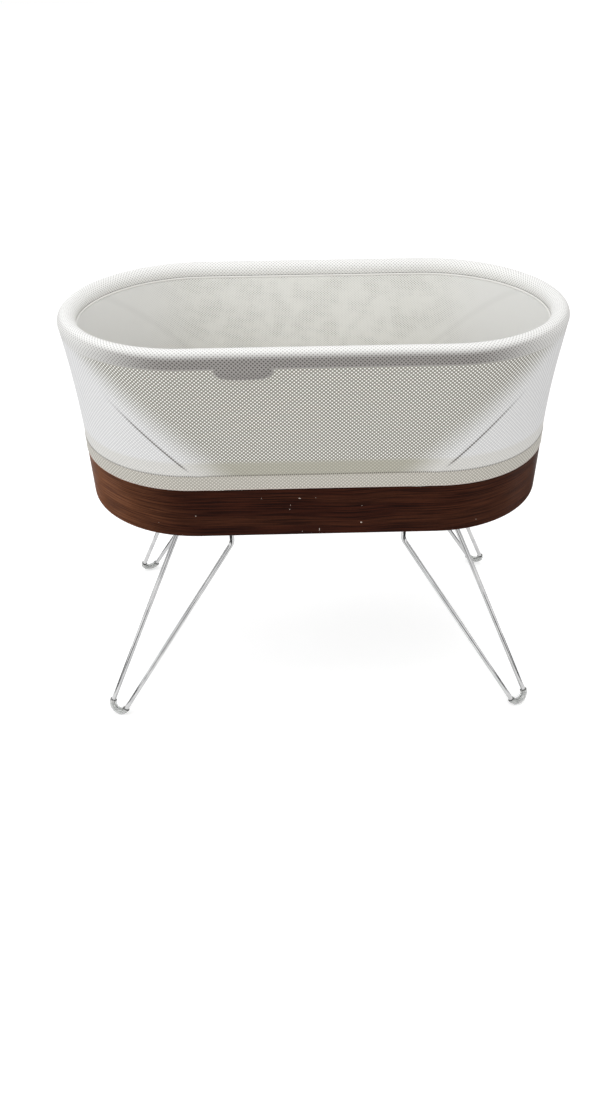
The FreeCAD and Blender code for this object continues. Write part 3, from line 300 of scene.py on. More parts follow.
walnut, tree, shader = material("walnut_veneer")
way = use_group(tree, oval_way)
wood = use_group(tree, grain, {"Vector": way.outputs["Vector"], "Streak": 9.0, "Across": 420.0})
# The band's ends are painted lighter, the left most, as painted light from the side; the grain's figure adds
# a little real variation.
lit_end_left = calc(tree, "MULTIPLY", ramp(tree, way.outputs["Along"], -0.20, -0.50),
                  ramp(tree, way.outputs["Along"], -1.02, -0.78))
lit_end_right = calc(tree, "MULTIPLY", ramp(tree, way.outputs["Along"], 0.16, 0.60, 0.0, 0.30),
                   ramp(tree, way.outputs["Along"], 1.02, 0.78))
lit_ends_and_figure = calc(tree, "MAXIMUM", lit_end_left, lit_end_right)
lit_ends_and_figure = calc(tree, "ADD", lit_ends_and_figure, ramp(tree, wood.outputs["Figure"], 0.35, 0.7, -0.04, 0.10), clamp=True)
line = ramp(tree, wood.outputs["Streaks"], 0.34, 0.66)
# deep is the walnut in painted shade, as on the front; pale is the walnut in painted light, as at the ends.
deep = blend_colour(tree, line, colour(24, 5, 2), colour(58, 25, 13))
pale = blend_colour(tree, line, colour(82, 43, 22), colour(134, 86, 57))
tone = blend_colour(tree, lit_ends_and_figure, deep, pale)
tone = blend_colour(tree, calc(tree, "MULTIPLY", wood.outputs["Pores"], 0.45), tone, colour(24, 8, 4))
tree.links.new(tone, shader.inputs["Base Color"])
tree.links.new(ramp(tree, wood.outputs["Streaks"], 0.3, 0.7, 0.42, 0.52), shader.inputs["Roughness"])
shader.inputs["Specular IOR Level"].default_value = 0.06
relief = calc(tree, "SUBTRACT", calc(tree, "MULTIPLY", wood.outputs["Streaks"], 0.5),
              wood.outputs["Pores"])
emboss(tree, shader, relief, 0.25, 0.0002)


def finish_node(name, made):
    """Gives a carried-over CAD node its material."""
    cad[name].data.materials.clear()
    cad[name].data.materials.append(made)


finish_node("wood_band", walnut)


band_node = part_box("wood_band")
BAND_R = band_node[1][1]


def oval_place(along, radius, z):
    """The point that far along the oval from the front middle, and the outward direction there."""
    end_length = math.pi * radius
    lap = 4 * HALF_STRAIGHT + 2 * end_length
    s = (along + HALF_STRAIGHT) % lap
    if s < 2 * HALF_STRAIGHT:
        return Vector((s - HALF_STRAIGHT, -radius, z)), Vector((0, -1, 0))
    s -= 2 * HALF_STRAIGHT
    turn = s / radius if s < end_length else math.pi
    if s < end_length:
        out = Vector((math.sin(turn), -math.cos(turn), 0))
        return Vector((HALF_STRAIGHT, 0, z)) + out * radius, out
    s -= end_length
    if s < 2 * HALF_STRAIGHT:
        return Vector((HALF_STRAIGHT - s, radius, z)), Vector((0, 1, 0))
    turn = (s - 2 * HALF_STRAIGHT) / radius
    out = Vector((-math.sin(turn), math.cos(turn), 0))
    return Vector((-HALF_STRAIGHT, 0, z)) + out * radius, out


# Each chip: how far along the band, how high, its length and its height, in metres.
CHIPS = ((-0.219, 0.475, 0.0038, 0.0026), (-0.033, 0.508, 0.0060, 0.0024),
         (-0.004, 0.508, 0.0018, 0.0014),
         (-0.049, 0.494, 0.0020, 0.0024), (-0.051, 0.485, 0.0028, 0.0015), (0.078, 0.490, 0.0014, 0.0012),
         (0.078, 0.454, 0.0044, 0.0040), (-0.029, 0.437, 0.0016, 0.0016), (0.002, 0.440, 0.0012, 0.0090),
         (-0.100, 0.509, 0.0010, 0.0030), (0.290, 0.447, 0.0018, 0.0016), (-0.290, 0.455, 0.0014, 0.0010))
CHIP_LIFT = 0.00006
rng = random.Random(7)
points, faces = [], []
for along, height, long, tall in CHIPS:
    corners = 9
    first = len(points)
    for i in range(corners):
        a = 2 * math.pi * i / corners
        reach = rng.uniform(0.45, 1.0)
        spot, out = oval_place(along + long / 2 * reach * math.cos(a), BAND_R,
                               height + tall / 2 * reach * math.sin(a))
        points.append(spot + out * CHIP_LIFT)
    faces.append(list(range(first, first + corners)))
chips = mesh_object("band_chips", points, faces, smooth=False)
chip_paint, tree, shader = material("bare_core")
speck = put(tree, "ShaderNodeTexNoise", {"Vector": object_place(tree), "Scale": 900.0}).outputs[0]
dye(tree, shader, speck, colour(150, 120, 104), colour(248, 238, 228))
shader.inputs["Roughness"].default_value = 0.8
chips.data.materials.append(chip_paint)
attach(chips, "bassinet")

# Outer cover: one piece of air mesh, a knitted fabric with rows of small hexagonal holes. It is sewn round
# the padded rim and stretched down to a doubled hem that hooks on the base. Between the struts the mesh
# hangs free, and there its holes are painted bright as painted light from the pale tub and its knit is
# painted darker as painted shade. Outside that window the holes are painted less bright; where the
# mattress lies behind, knit and holes are painted duller as painted shade. Under the rim roll the mesh is
# painted dark as painted shade, over the pod partly for the grey pod behind; the roll's top, inner side and
# round ends are painted lighter as painted light, and a painted shadow line runs along each strut. Its weave
# counts whole cells round the oval and up the wall.

HEM_TOP = 0.556
POD_X, POD_HALF, POD_FOOT = 0.118, 0.048, 0.740  # the pod's middle is that far left, and its cover ends there
STRUT_SHADOW_GAP = -0.0065  # the painted strut shadow line runs along the strut's lower side
MATTRESS_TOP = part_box("mattress")[1][2]
rim_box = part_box("outer_cover")
ROLL_R = 0.016
RIM_R = rim_box[1][1] - ROLL_R
RIM_Z = rim_box[1][2] - ROLL_R
COVER_FOOT_R = BAND_R - 0.0002
COVER_FOOT_Z = rim_box[0][2]
CELL_WIDTH, CELL_HEIGHT = 0.0068, 0.0064
CELL_COUNT_R = 0.2335  # the wall's middle radius, where its cells are counted
CELLS_ROUND = round((4 * HALF_STRAIGHT + 2 * math.pi * CELL_COUNT_R) / CELL_WIDTH)
STRUT_FOOT_X = HALF_STRAIGHT - 0.0345
STRUT_R = 0.221
STRUT_SLOPE = 1.007
DECK_TOP = 0.532


def strut_gap(centre_x, out, z):
    """How far a point of the wall lies above the strut's line, measured square to it; below is negative."""
    reach = abs(centre_x) + STRUT_R * abs(out.x)
    slope = STRUT_SLOPE * max(abs(out.y), 0.05)
    return (z - DECK_TOP - (reach - STRUT_FOOT_X) * STRUT_SLOPE) / math.sqrt(1 + slope * slope)


def oval_columns(step, radius):
    """Columns round the oval from the rear middle: centre x, outward direction, and fraction of the lap."""
    straight, bend = round(2 * HALF_STRAIGHT / step), round(math.pi * radius / step)
    lap = 4 * HALF_STRAIGHT + 2 * math.pi * radius
    columns = []
    for i in range(straight):
        columns.append((-HALF_STRAIGHT + 2 * HALF_STRAIGHT * i / straight, Vector((0, -1, 0)),
                        2 * HALF_STRAIGHT * i / straight / lap))
    for i in range(bend):
        a = math.pi * i / bend
        columns.append((HALF_STRAIGHT, Vector((math.sin(a), -math.cos(a), 0)),
                        (2 * HALF_STRAIGHT + radius * a) / lap))
    for i in range(straight):
        share = (2 * HALF_STRAIGHT * (1 + i / straight) + math.pi * radius) / lap
        columns.append((HALF_STRAIGHT - 2 * HALF_STRAIGHT * i / straight, Vector((0, 1, 0)), share))
    for i in range(bend):
        a = math.pi * i / bend
        share = (4 * HALF_STRAIGHT + math.pi * radius + radius * a) / lap
        columns.append((-HALF_STRAIGHT, Vector((-math.sin(a), math.cos(a), 0)), share))
    return columns


def oval_skin(name, rows, push, step=0.004, radius=CELL_COUNT_R, cells=CELLS_ROUND, closed=False):
    """A skin round the oval. Each row is (radius, height, way up in cells). push moves a point outwards.
    Its UV map holds the weave's cells, its strut_gap attribute the way to the strut's line, and its
    roll_side attribute the side of the rim: -1 inside, 1 outside."""
    columns = oval_columns(step, radius)
    points, gaps, sides = [], [], []
    for r, z, _ in rows:
        for centre_x, out, share in columns:
            moved = r + push(centre_x, out, r, z)
            points.append(Vector((centre_x + moved * out.x, moved * out.y, z)))
            gaps.append(strut_gap(centre_x, out, z))
            sides.append((r - RIM_R) / ROLL_R)
    count = len(columns)
    faces, weave = [], []
    for i in range(len(rows) - (0 if closed else 1)):
        up = (i + 1) % len(rows)
        v0, v1 = rows[i][2], rows[up][2] if up else rows[i][2] + rows[1][2] - rows[0][2]
        for j in range(count):
            k = (j + 1) % count
            faces.append((i * count + j, i * count + k, up * count + k, up * count + j))
            u0, u1 = columns[j][2] * cells, (columns[k][2] if k else 1.0) * cells
            weave += [(u0, v0), (u1, v0), (u1, v1), (u0, v1)]
    made = mesh_object(name, points, faces)
    layer = made.data.uv_layers.new(name="weave")
    layer.data.foreach_set("uv", [c for pair in weave for c in pair])
    made.data.attributes.new("strut_gap", "FLOAT", "POINT").data.foreach_set("value", gaps)
    made.data.attributes.new("roll_side", "FLOAT", "POINT").data.foreach_set("value", sides)
    return made


def bump_at(value, centre, width):
    """A smooth bump, 1 at its centre."""
    return math.exp(-(((value - centre) / width) ** 2))


def cover_push(centre_x, out, r, z):
    """Ridges over the struts, the bulge over the microphone pod, the hem's doubling, and a little slack."""
    wall = max(0.0, min(1.0, (RIM_Z - 0.012 - z) / 0.03))
    ridge = 0.0012 * math.exp(-((strut_gap(centre_x, out, z) / 0.007) ** 2)) * wall
    pod = 0.0
    if out.y < -0.99:
        pod = 0.0050 * bump_at(z, 0.750, 0.011) * min(1.0,
                                                      max(0.0, (0.044 - abs(centre_x + 0.118)) / 0.012
                                                          + 0.5))
    hem = 0.0007 if z < HEM_TOP else 0.0
    stitch = -0.0006 * bump_at(z, HEM_TOP + 0.0006, 0.0012)
    slack = 0.0010 * wall * noise.noise(Vector((centre_x * 9 + out.x * 2.2, out.y * 2.2, z * 7)))
    return ridge + pod + hem + stitch + slack * (1.0 if z > HEM_TOP + 0.01 else 0.0)


def wall_radius(share, bow):
    """The stretched wall's radius at a share of its height."""
    return COVER_FOOT_R + (RIM_R + ROLL_R - COVER_FOOT_R) * share - 4 * bow * share * (1 - share)


SEAM_TURN = math.radians(213)
rows, way_up = [], 0.0
heights = [COVER_FOOT_Z, COVER_FOOT_Z + 0.0012, 0.534, 0.540, 0.546, 0.551, 0.5545, HEM_TOP - 0.0002,
           HEM_TOP + 0.0004, HEM_TOP + 0.0016, HEM_TOP + 0.0035, 0.563]
heights += [0.563 + (RIM_Z - 0.563) * i / 52 for i in range(1, 53)]
outline = [(wall_radius((z - COVER_FOOT_Z) / (RIM_Z - COVER_FOOT_Z), 0.0038), z) for z in heights]
outline += [(RIM_R + ROLL_R * math.cos(a), RIM_Z + ROLL_R * math.sin(a))
            for a in (SEAM_TURN * i / 22 for i in range(1, 23))]
last = outline[0]
for r, z in outline:
    way_up += math.hypot(r - last[0], z - last[1]) / CELL_HEIGHT
    rows.append((r, z, way_up))
    last = (r, z)
cover = oval_skin("mesh_cover", rows, cover_push)
thick = cover.modifiers.new("thickness", "SOLIDIFY")
thick.thickness = 0.0011
thick.offset = -1.0

# One cell of the mesh: a hole where two rows of the knit cross, and the height of the knit round it.
air_mesh, give, take = group("air_mesh", [("Weave", "Vector"), ("Hole Size", "Float")],
                             [("Hole", "Float"), ("Knit Height", "Float")])
cell = put(air_mesh, "ShaderNodeSeparateXYZ", {0: give.outputs["Weave"]})
swing_u = calc(air_mesh, "COSINE", calc(air_mesh, "MULTIPLY", cell.outputs[0], 2 * math.pi))
swing_v = calc(air_mesh, "COSINE", calc(air_mesh, "MULTIPLY", cell.outputs[1], 2 * math.pi))
crossing = calc(air_mesh, "MULTIPLY", swing_u, swing_v)
edge = calc(air_mesh, "SUBTRACT", 1.0, give.outputs["Hole Size"])
hole = put(air_mesh, "ShaderNodeMapRange",
           {"Value": crossing, "From Min": calc(air_mesh, "SUBTRACT", edge, 0.32),
            "From Max": calc(air_mesh, "ADD", edge, 0.32)}, interpolation_type="SMOOTHSTEP").outputs[0]
air_mesh.links.new(hole, take.inputs["Hole"])
air_mesh.links.new(calc(air_mesh, "SUBTRACT", 1.0, hole), take.inputs["Knit Height"])

cover_mesh, tree, shader = material("cover_mesh")
weave_map = put(tree, "ShaderNodeUVMap", uv_map="weave").outputs[0]
knit = use_group(tree, air_mesh, {"Weave": weave_map, "Hole Size": 0.70})
spot = put(tree, "ShaderNodeSeparateXYZ", {0: object_place(tree)})
height = spot.outputs[2]
to_strut = put(tree, "ShaderNodeAttribute", attribute_type="GEOMETRY",
               attribute_name="strut_gap").outputs["Fac"]
roll_side = put(tree, "ShaderNodeAttribute", attribute_type="GEOMETRY",
                attribute_name="roll_side").outputs["Fac"]
away = calc(tree, "ABSOLUTE", spot.outputs[0])
# window: the open mesh between the struts; there the knit is painted darker as painted shade and the holes
# painted bright as painted light from the pale tub.
window = ramp(tree, to_strut, -0.010, 0.055)
# behind: where the mattress stands behind the mesh, knit and holes are painted duller as painted shade.
behind = ramp(tree, height, MATTRESS_TOP + 0.008, MATTRESS_TOP - 0.002)
# Painted shade under the rim roll: the mesh there is painted dark.
roll_underside_shade = ramp(tree, height, RIM_Z - ROLL_R + 0.001, RIM_Z - ROLL_R + 0.005)
# Painted light: the roll's top, its inner side and the round ends are painted lighter.
on_top = ramp(tree, height, RIM_Z + 0.002, RIM_Z + ROLL_R - 0.0002)
inside = ramp(tree, roll_side, 0.35, -0.1)
round_end = ramp(tree, away, 0.24, 0.42, 0.0, 0.75)
lit = calc(tree, "MAXIMUM", calc(tree, "MAXIMUM", on_top, inside), round_end)
hem = ramp(tree, height, HEM_TOP + 0.0006, HEM_TOP - 0.0006)
# Over the microphone pod the mesh is painted dark: partly the grey pod behind it, partly painted shade under
# its bulge.
pod_front = ramp(tree, spot.outputs[1], -0.21, -0.22)
pod_across = calc(tree, "DIVIDE", calc(tree, "ADD", spot.outputs[0], POD_X), POD_HALF)
pod_down = calc(tree, "DIVIDE", calc(tree, "SUBTRACT", height, RIM_Z - ROLL_R), RIM_Z - ROLL_R - POD_FOOT)
pod_reach = calc(tree, "ADD", calc(tree, "POWER", calc(tree, "ABSOLUTE", pod_across), 3.0),
                 calc(tree, "POWER", calc(tree, "ABSOLUTE", pod_down), 2.0))
over_pod = calc(tree, "MULTIPLY", pod_front, ramp(tree, pod_reach, 1.25, 0.75))
roll_underside_shade = calc(tree, "MAXIMUM", roll_underside_shade, over_pod)
knit_tone = blend_colour(tree, window, colour(208, 208, 209), colour(142, 139, 131))
hole_tone = blend_colour(tree, window, colour(243, 243, 242), colour(255, 255, 250))
knit_tone = blend_colour(tree, behind, knit_tone,
                         blend_colour(tree, window, colour(204, 203, 200), colour(164, 161, 149)))
hole_tone = blend_colour(tree, behind, hole_tone,
                         blend_colour(tree, window, colour(232, 230, 225), colour(196, 194, 181)))
knit_tone = blend_colour(tree, hem, knit_tone, colour(172, 168, 159))
hole_tone = blend_colour(tree, hem, hole_tone, colour(220, 217, 209))
knit_tone = blend_colour(tree, roll_underside_shade, knit_tone,
                         blend_colour(tree, lit, colour(156, 153, 150), colour(240, 240, 238)))
hole_tone = blend_colour(tree, roll_underside_shade, hole_tone,
                         blend_colour(tree, lit, colour(82, 78, 76), colour(196, 195, 193)))
tone = blend_colour(tree, knit.outputs["Hole"], knit_tone, hole_tone)
# A painted shadow line along each strut's lower side, darkest on the knit between the holes.
strut_shadow_gap = calc(tree, "ABSOLUTE", calc(tree, "SUBTRACT", to_strut, STRUT_SHADOW_GAP))
strut_shadow_line = calc(tree, "MULTIPLY", ramp(tree, strut_shadow_gap, 0.0034, 0.0008),
              ramp(tree, height, HEM_TOP + 0.006, HEM_TOP + 0.024))
strut_shadow_line = calc(tree, "MULTIPLY", strut_shadow_line, ramp(tree, height, 0.700, 0.640))
dotted = ramp(tree, knit.outputs["Hole"], 0.8, 0.2, 0.25, 0.85)
tone = blend_colour(tree, calc(tree, "MULTIPLY", strut_shadow_line, dotted), tone, colour(88, 84, 80))
cell_way = put(tree, "ShaderNodeSeparateXYZ", {0: weave_map})
prick_row = ramp(tree, calc(tree, "ABSOLUTE", calc(tree, "SUBTRACT", height, HEM_TOP + 0.0006)), 0.0017,
                 0.0006)
prick = calc(tree, "MULTIPLY",
             ramp(tree, calc(tree, "COSINE", calc(tree, "MULTIPLY", cell_way.outputs[0], 4 * math.pi)),
                  0.0, 0.6), prick_row)
tone = blend_colour(tree, calc(tree, "MULTIPLY", prick, 0.9), tone, colour(52, 48, 44))
tree.links.new(tone, shader.inputs["Base Color"])
shader.inputs["Roughness"].default_value = 0.85
shader.inputs["Specular IOR Level"].default_value = 0.15
shader.inputs["Sheen Weight"].default_value = 0.15
emboss(tree, shader, knit.outputs["Knit Height"], 0.35, 0.0005)
cover.data.materials.append(cover_mesh)
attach(cover, "bassinet")
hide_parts("outer_cover")

# Hem: the mesh is turned up and sewn down double, and its lower edge is whipped over with a thread that
# stands against the band. A row of lockstitches holds the turn-up.

HEM_EDGE_R = 0.0011
columns = oval_columns(0.0017, BAND_R)
points, faces = [], []
SIDES = 6
for j, (centre_x, out, share) in enumerate(columns):
    for i in range(SIDES):
        a = 2 * math.pi * i / SIDES
        swell = HEM_EDGE_R * (1.18 if j % 2 else 0.90)
        r = BAND_R - 0.0002 + swell * math.cos(a)
        points.append(Vector((centre_x + r * out.x, r * out.y,
                              COVER_FOOT_Z + HEM_EDGE_R + swell * math.sin(a))))
for j in range(len(columns)):
    k = (j + 1) % len(columns)
    for i in range(SIDES):
        faces.append((j * SIDES + i, k * SIDES + i, k * SIDES + (i + 1) % SIDES,
                      j * SIDES + (i + 1) % SIDES))
whip = mesh_object("hem_whipping", points, faces)


def oval_spots(pitch, radius):
    """Evenly spaced distances along the oval at that radius."""
    lap = 4 * HALF_STRAIGHT + 2 * math.pi * radius
    count = round(lap / pitch)
    return [lap * i / count for i in range(count)]


STITCH_PITCH, STITCH_LENGTH, THREAD_R = 0.0034, 0.0024, 0.00035
points, faces = [], []
STITCH_R = wall_radius((HEM_TOP - COVER_FOOT_Z) / (RIM_Z - COVER_FOOT_Z), 0.0038) + 0.0005
for along in oval_spots(STITCH_PITCH, STITCH_R):
    middle, out = oval_place(along, STITCH_R, HEM_TOP - 0.0022)
    way = Vector((-out.y, out.x, 0))
    up = Vector((0, 0, 1))
    first = len(points)
    for end in (-1, 0, 1):
        lift = THREAD_R * (1.0 if end == 0 else -0.6)
        for side in (-1, 1):
            points.append(middle + way * end * STITCH_LENGTH / 2 + out * lift + up * side * THREAD_R)
        points.append(middle + way * end * STITCH_LENGTH / 2 + out * (lift + THREAD_R))
    for a in (0, 3):
        faces += [(first + a, first + a + 3, first + a + 5, first + a + 2),
                  (first + a + 2, first + a + 5, first + a + 4, first + a + 1)]
stitches = mesh_object("hem_stitches", points, faces)

thread_paint, tree, shader = material("thread")
fibre = put(tree, "ShaderNodeTexWave", {"Vector": object_place(tree), "Scale": 400.0, "Distortion": 2.0},
            bands_direction="DIAGONAL").outputs[1]
dye(tree, shader, fibre, colour(120, 108, 100), colour(236, 226, 217))
shader.inputs["Roughness"].default_value = 0.7
for piece in (whip, stitches):
    piece.data.materials.append(thread_paint)
    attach(piece, "bassinet")

# Inner liner: a finer mesh that hangs from the seam inside the rim to the deck, all round the mattress.
# Along the sides it lies close to the open cover, and round the ends it is backed and looks plain.

liner_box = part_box("inner_liner")
LINER_R = liner_box[1][1]
LINER_TOP_R = RIM_R + (ROLL_R + 0.0018) * math.cos(math.radians(215))
LINER_TOP_Z = liner_box[1][2]
LINER_CELL = (0.0058, 0.0049)
LINER_CELLS = round((4 * HALF_STRAIGHT + 2 * math.pi * LINER_R) / LINER_CELL[0])


def liner_push(centre_x, out, r, z):
    """Slack between seam and deck, a little more at the ends, and a faint tuck where a strut presses."""
    share = (z - DECK_TOP) / (LINER_TOP_Z - DECK_TOP)
    free = 4 * max(share * (1 - share), 0)
    slack = 0.0012 * noise.noise(Vector((centre_x * 7 + 3 + out.x * 1.7, out.y * 1.7, z * 5))) * free
    return slack - 0.0004 * math.exp(-((strut_gap(centre_x, out, z) / 0.010) ** 2)) * free


rows = []
LINER_ROWS = 48
for i in range(LINER_ROWS + 1):
    share = i / LINER_ROWS
    z = DECK_TOP + (LINER_TOP_Z - DECK_TOP) * share
    rows.append((LINER_R - 0.0006 + (LINER_TOP_R - LINER_R + 0.0006) * share, z,
                 (z - DECK_TOP) / LINER_CELL[1]))
liner = oval_skin("mesh_liner", rows, liner_push, step=0.005, radius=LINER_R, cells=LINER_CELLS)
thick = liner.modifiers.new("thickness", "SOLIDIFY")
thick.thickness = 0.0008
thick.offset = 0.0

liner_mesh, tree, shader = material("liner_mesh")
knit = use_group(tree, air_mesh,
                 {"Weave": put(tree, "ShaderNodeUVMap", uv_map="weave").outputs[0], "Hole Size": 0.40})
spot = put(tree, "ShaderNodeSeparateXYZ", {0: object_place(tree)})
to_strut = put(tree, "ShaderNodeAttribute", attribute_type="GEOMETRY",
               attribute_name="strut_gap").outputs["Fac"]
open_part = ramp(tree, calc(tree, "ABSOLUTE", spot.outputs[0]), 0.37, 0.22)
patchy = put(tree, "ShaderNodeTexNoise",
             {"Vector": object_place(tree), "Scale": 26.0, "Detail": 3.0}).outputs[0]
# In the open part the liner's holes are painted dark, in patches, as painted shade from the gap behind.
dots = calc(tree, "MULTIPLY", knit.outputs["Hole"],
            calc(tree, "MULTIPLY", open_part, ramp(tree, patchy, 0.34, 0.66, 0.25, 1.0)))
cloth = blend_colour(tree, open_part, colour(229, 229, 227), colour(236, 236, 232))
tone = blend_colour(tree, dots, cloth, colour(128, 130, 126))
# A faint painted shadow where a strut lies behind the liner.
liner_strut_shadow = ramp(tree, calc(tree, "ABSOLUTE", to_strut), 0.010, 0.001, 0.0, 0.06)
tone = blend_colour(tree, liner_strut_shadow, tone, colour(150, 149, 146))
tree.links.new(tone, shader.inputs["Base Color"])
shader.inputs["Roughness"].default_value = 0.88
shader.inputs["Specular IOR Level"].default_value = 0.12
emboss(tree, shader, knit.outputs["Knit Height"], 0.25, 0.0004)
liner.data.materials.append(liner_mesh)
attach(liner, "bassinet")
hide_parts("inner_liner")

# Seam piping: a woven bias strip round a thin cord, sewn in where cover and liner meet inside the rim.
# The foam sleeve round the rim tube and the hem strip are of the same pale stuff.

piping_paint, tree, shader = material("bias_piping")
way = use_group(tree, oval_way)
twill = put(tree, "ShaderNodeTexWave",
            {"Vector": way.outputs["Vector"], "Scale": 260.0, "Distortion": 0.6},
            bands_direction="DIAGONAL").outputs[1]
dye(tree, shader, twill, colour(222, 221, 217), colour(244, 243, 240))
shader.inputs["Roughness"].default_value = 0.8
emboss(tree, shader, twill, 0.3, 0.0002)
for name in ("seam_piping", "rim_padding", "hem_strip"):
    finish_node(name, piping_paint)

# Microphone pod: a small moulded housing under the rim at the front left, beneath the cover.
# Mouldings share a fine spark-eroded texture and a slight mottle, and a little dust settles on top of them.

moulded, give, take = group("moulded", [("Grain Scale", "Float")],
                            [("Mottle", "Float"), ("Grain", "Float")])
place = object_place(moulded)
mottle = put(moulded, "ShaderNodeTexNoise", {"Vector": place, "Scale": 28.0, "Detail": 3.0}).outputs[0]
fine = put(moulded, "ShaderNodeTexNoise",
           {"Vector": place, "Scale": give.outputs["Grain Scale"], "Detail": 1.0}).outputs[0]
moulded.links.new(ramp(moulded, mottle, 0.3, 0.7), take.inputs["Mottle"])
moulded.links.new(fine, take.inputs["Grain"])

settled, give, take = group("settled_dust", [("Amount", "Float")], [("Dust", "Float")])
faces_up = put(settled, "ShaderNodeSeparateXYZ",
               {0: put(settled, "ShaderNodeNewGeometry").outputs["Normal"]}).outputs[2]
drift = put(settled, "ShaderNodeTexNoise",
            {"Vector": object_place(settled), "Scale": 60.0, "Detail": 5.0}).outputs[0]
dusty = calc(settled, "MULTIPLY", ramp(settled, faces_up, 0.5, 0.95),
             ramp(settled, drift, 0.35, 0.75, 0.2, 1.0))
settled.links.new(calc(settled, "MULTIPLY", dusty, give.outputs["Amount"]), take.inputs["Dust"])
DUST_TONE = colour(190, 184, 174)


def moulding(name, nodes, first, second, rough, grain_scale=2400.0, dust=0.12, depth=0.00008):
    """A moulded plastic for those nodes, between two tones."""
    made, tree, shader = material(name)
    skin = use_group(tree, moulded, {"Grain Scale": grain_scale})
    tone = blend_colour(tree, skin.outputs["Mottle"], first, second)
    tone = blend_colour(tree, use_group(tree, settled, {"Amount": dust}).outputs["Dust"], tone, DUST_TONE)
    tree.links.new(tone, shader.inputs["Base Color"])
    tree.links.new(ramp(tree, skin.outputs["Grain"], 0.3, 0.7, rough - 0.05, rough + 0.06),
                   shader.inputs["Roughness"])
    bump = put(tree, "ShaderNodeBump",
               {"Height": skin.outputs["Grain"], "Strength": 0.3, "Distance": depth})
    tree.links.new(bump.outputs[0], shader.inputs["Normal"])
    for node in nodes:
        finish_node(node, made)
    return shader


moulding("pod_moulding", ["microphone_pod"], colour(118, 117, 115), colour(128, 127, 125), 0.55)

# Rim tube and struts: the tube is drawn aluminium, bent and butt-welded into a closed ring. The struts are
# steel bar with welded foot plates, powder coated in pale grey, and zinc-plated screws hold them down.

worked, give, take = group("worked_metal", [("Vector", "Vector"), ("Marks Scale", "Float")],
                           [("Blotch", "Float"), ("Marks", "Float")])
blotch = put(worked, "ShaderNodeTexNoise",
             {"Vector": give.outputs["Vector"], "Scale": 40.0, "Detail": 4.0}).outputs[0]
marks = put(worked, "ShaderNodeTexNoise",
            {"Vector": give.outputs["Vector"], "Scale": give.outputs["Marks Scale"],
             "Detail": 3.0}).outputs[0]
worked.links.new(ramp(worked, blotch, 0.3, 0.7), take.inputs["Blotch"])
worked.links.new(ramp(worked, marks, 0.3, 0.7), take.inputs["Marks"])


def metal(name, nodes, first, second, rough, stretch=(1, 1, 1), marks_scale=900.0, relief=0.15):
    """A worked metal for those nodes. stretch draws the marks out along an axis with a small number."""
    made, tree, shader = material(name)
    vector = put(tree, "ShaderNodeMapping", {"Vector": object_place(tree), "Scale": stretch}).outputs[0]
    work = use_group(tree, worked, {"Vector": vector, "Marks Scale": marks_scale})
    dye(tree, shader, work.outputs["Blotch"], first, second)
    tree.links.new(ramp(tree, work.outputs["Marks"], 0, 1, rough * 0.8, rough * 1.25),
                   shader.inputs["Roughness"])
    shader.inputs["Metallic"].default_value = 1.0
    bump = put(tree, "ShaderNodeBump",
               {"Height": work.outputs["Marks"], "Strength": relief, "Distance": 0.00005})
    tree.links.new(bump.outputs[0], shader.inputs["Normal"])
    for node in nodes:
        finish_node(node, made)
    return shader


STRUTS = [f"strut_{end}_{side}" for end in ("front", "rear") for side in ("left", "right")]
metal("drawn_aluminium", ["rim_tube"], colour(196, 198, 200), colour(214, 215, 217), 0.32,
      stretch=(0.1, 1, 1))
moulding("strut_coating", STRUTS, colour(196, 196, 192), colour(206, 206, 202), 0.5, grain_scale=1500.0,
         depth=0.0002)
metal("zinc_plate", ["strut_screws"], colour(176, 178, 180), colour(198, 199, 202), 0.3)

# Base case: a moulded tray fills the band from inside, and a moulded ring closes it above. A pressed steel
# plate in the tray carries the legs, the pivot and the motor. All are screwed, from inside and from below.

moulding("tray_moulding", ["base_pan"], colour(66, 66, 66), colour(74, 74, 73), 0.6, dust=0.3)
moulding("deck_moulding", ["deck_ring"], colour(203, 203, 199), colour(212, 211, 208), 0.5)
metal("pressed_plate", ["chassis_plate"], colour(170, 172, 174), colour(190, 191, 193), 0.36,
      stretch=(0.15, 1, 1))
metal("case_screws", ["band_screws"], colour(176, 178, 180), colour(198, 199, 202), 0.3)

# Legs: each is one steel rod bent like a hairpin and chromed. Its two prongs plug into a double socket that
# is bolted through the tray to the plate, where grub screws pinch them. A clear sleeve shoes each bend.

LEGS = [f"leg_{end}_{side}" for end in ("front", "rear") for side in ("left", "right")]
chrome, tree, shader = material("chrome_plate")
place = object_place(tree)
work = use_group(tree, worked, {"Vector": place, "Marks Scale": 320.0})
dye(tree, shader, work.outputs["Blotch"], colour(184, 184, 185), colour(200, 200, 200))
smear = put(tree, "ShaderNodeTexNoise",
            {"Vector": place, "Scale": 34.0, "Detail": 6.0, "Roughness": 0.7}).outputs[0]
tree.links.new(ramp(tree, smear, 0.42, 0.72, 0.05, 0.17), shader.inputs["Roughness"])
shader.inputs["Metallic"].default_value = 1.0
emboss(tree, shader, work.outputs["Marks"], 0.05, 0.00004)
for name in LEGS:
    finish_node(name, chrome)
metal("socket_zinc", ["leg_sockets", "socket_bolts"], colour(160, 164, 160), colour(184, 187, 184), 0.34)
metal("black_oxide", ["socket_grub_screws"], colour(44, 44, 46), colour(60, 60, 62), 0.4)

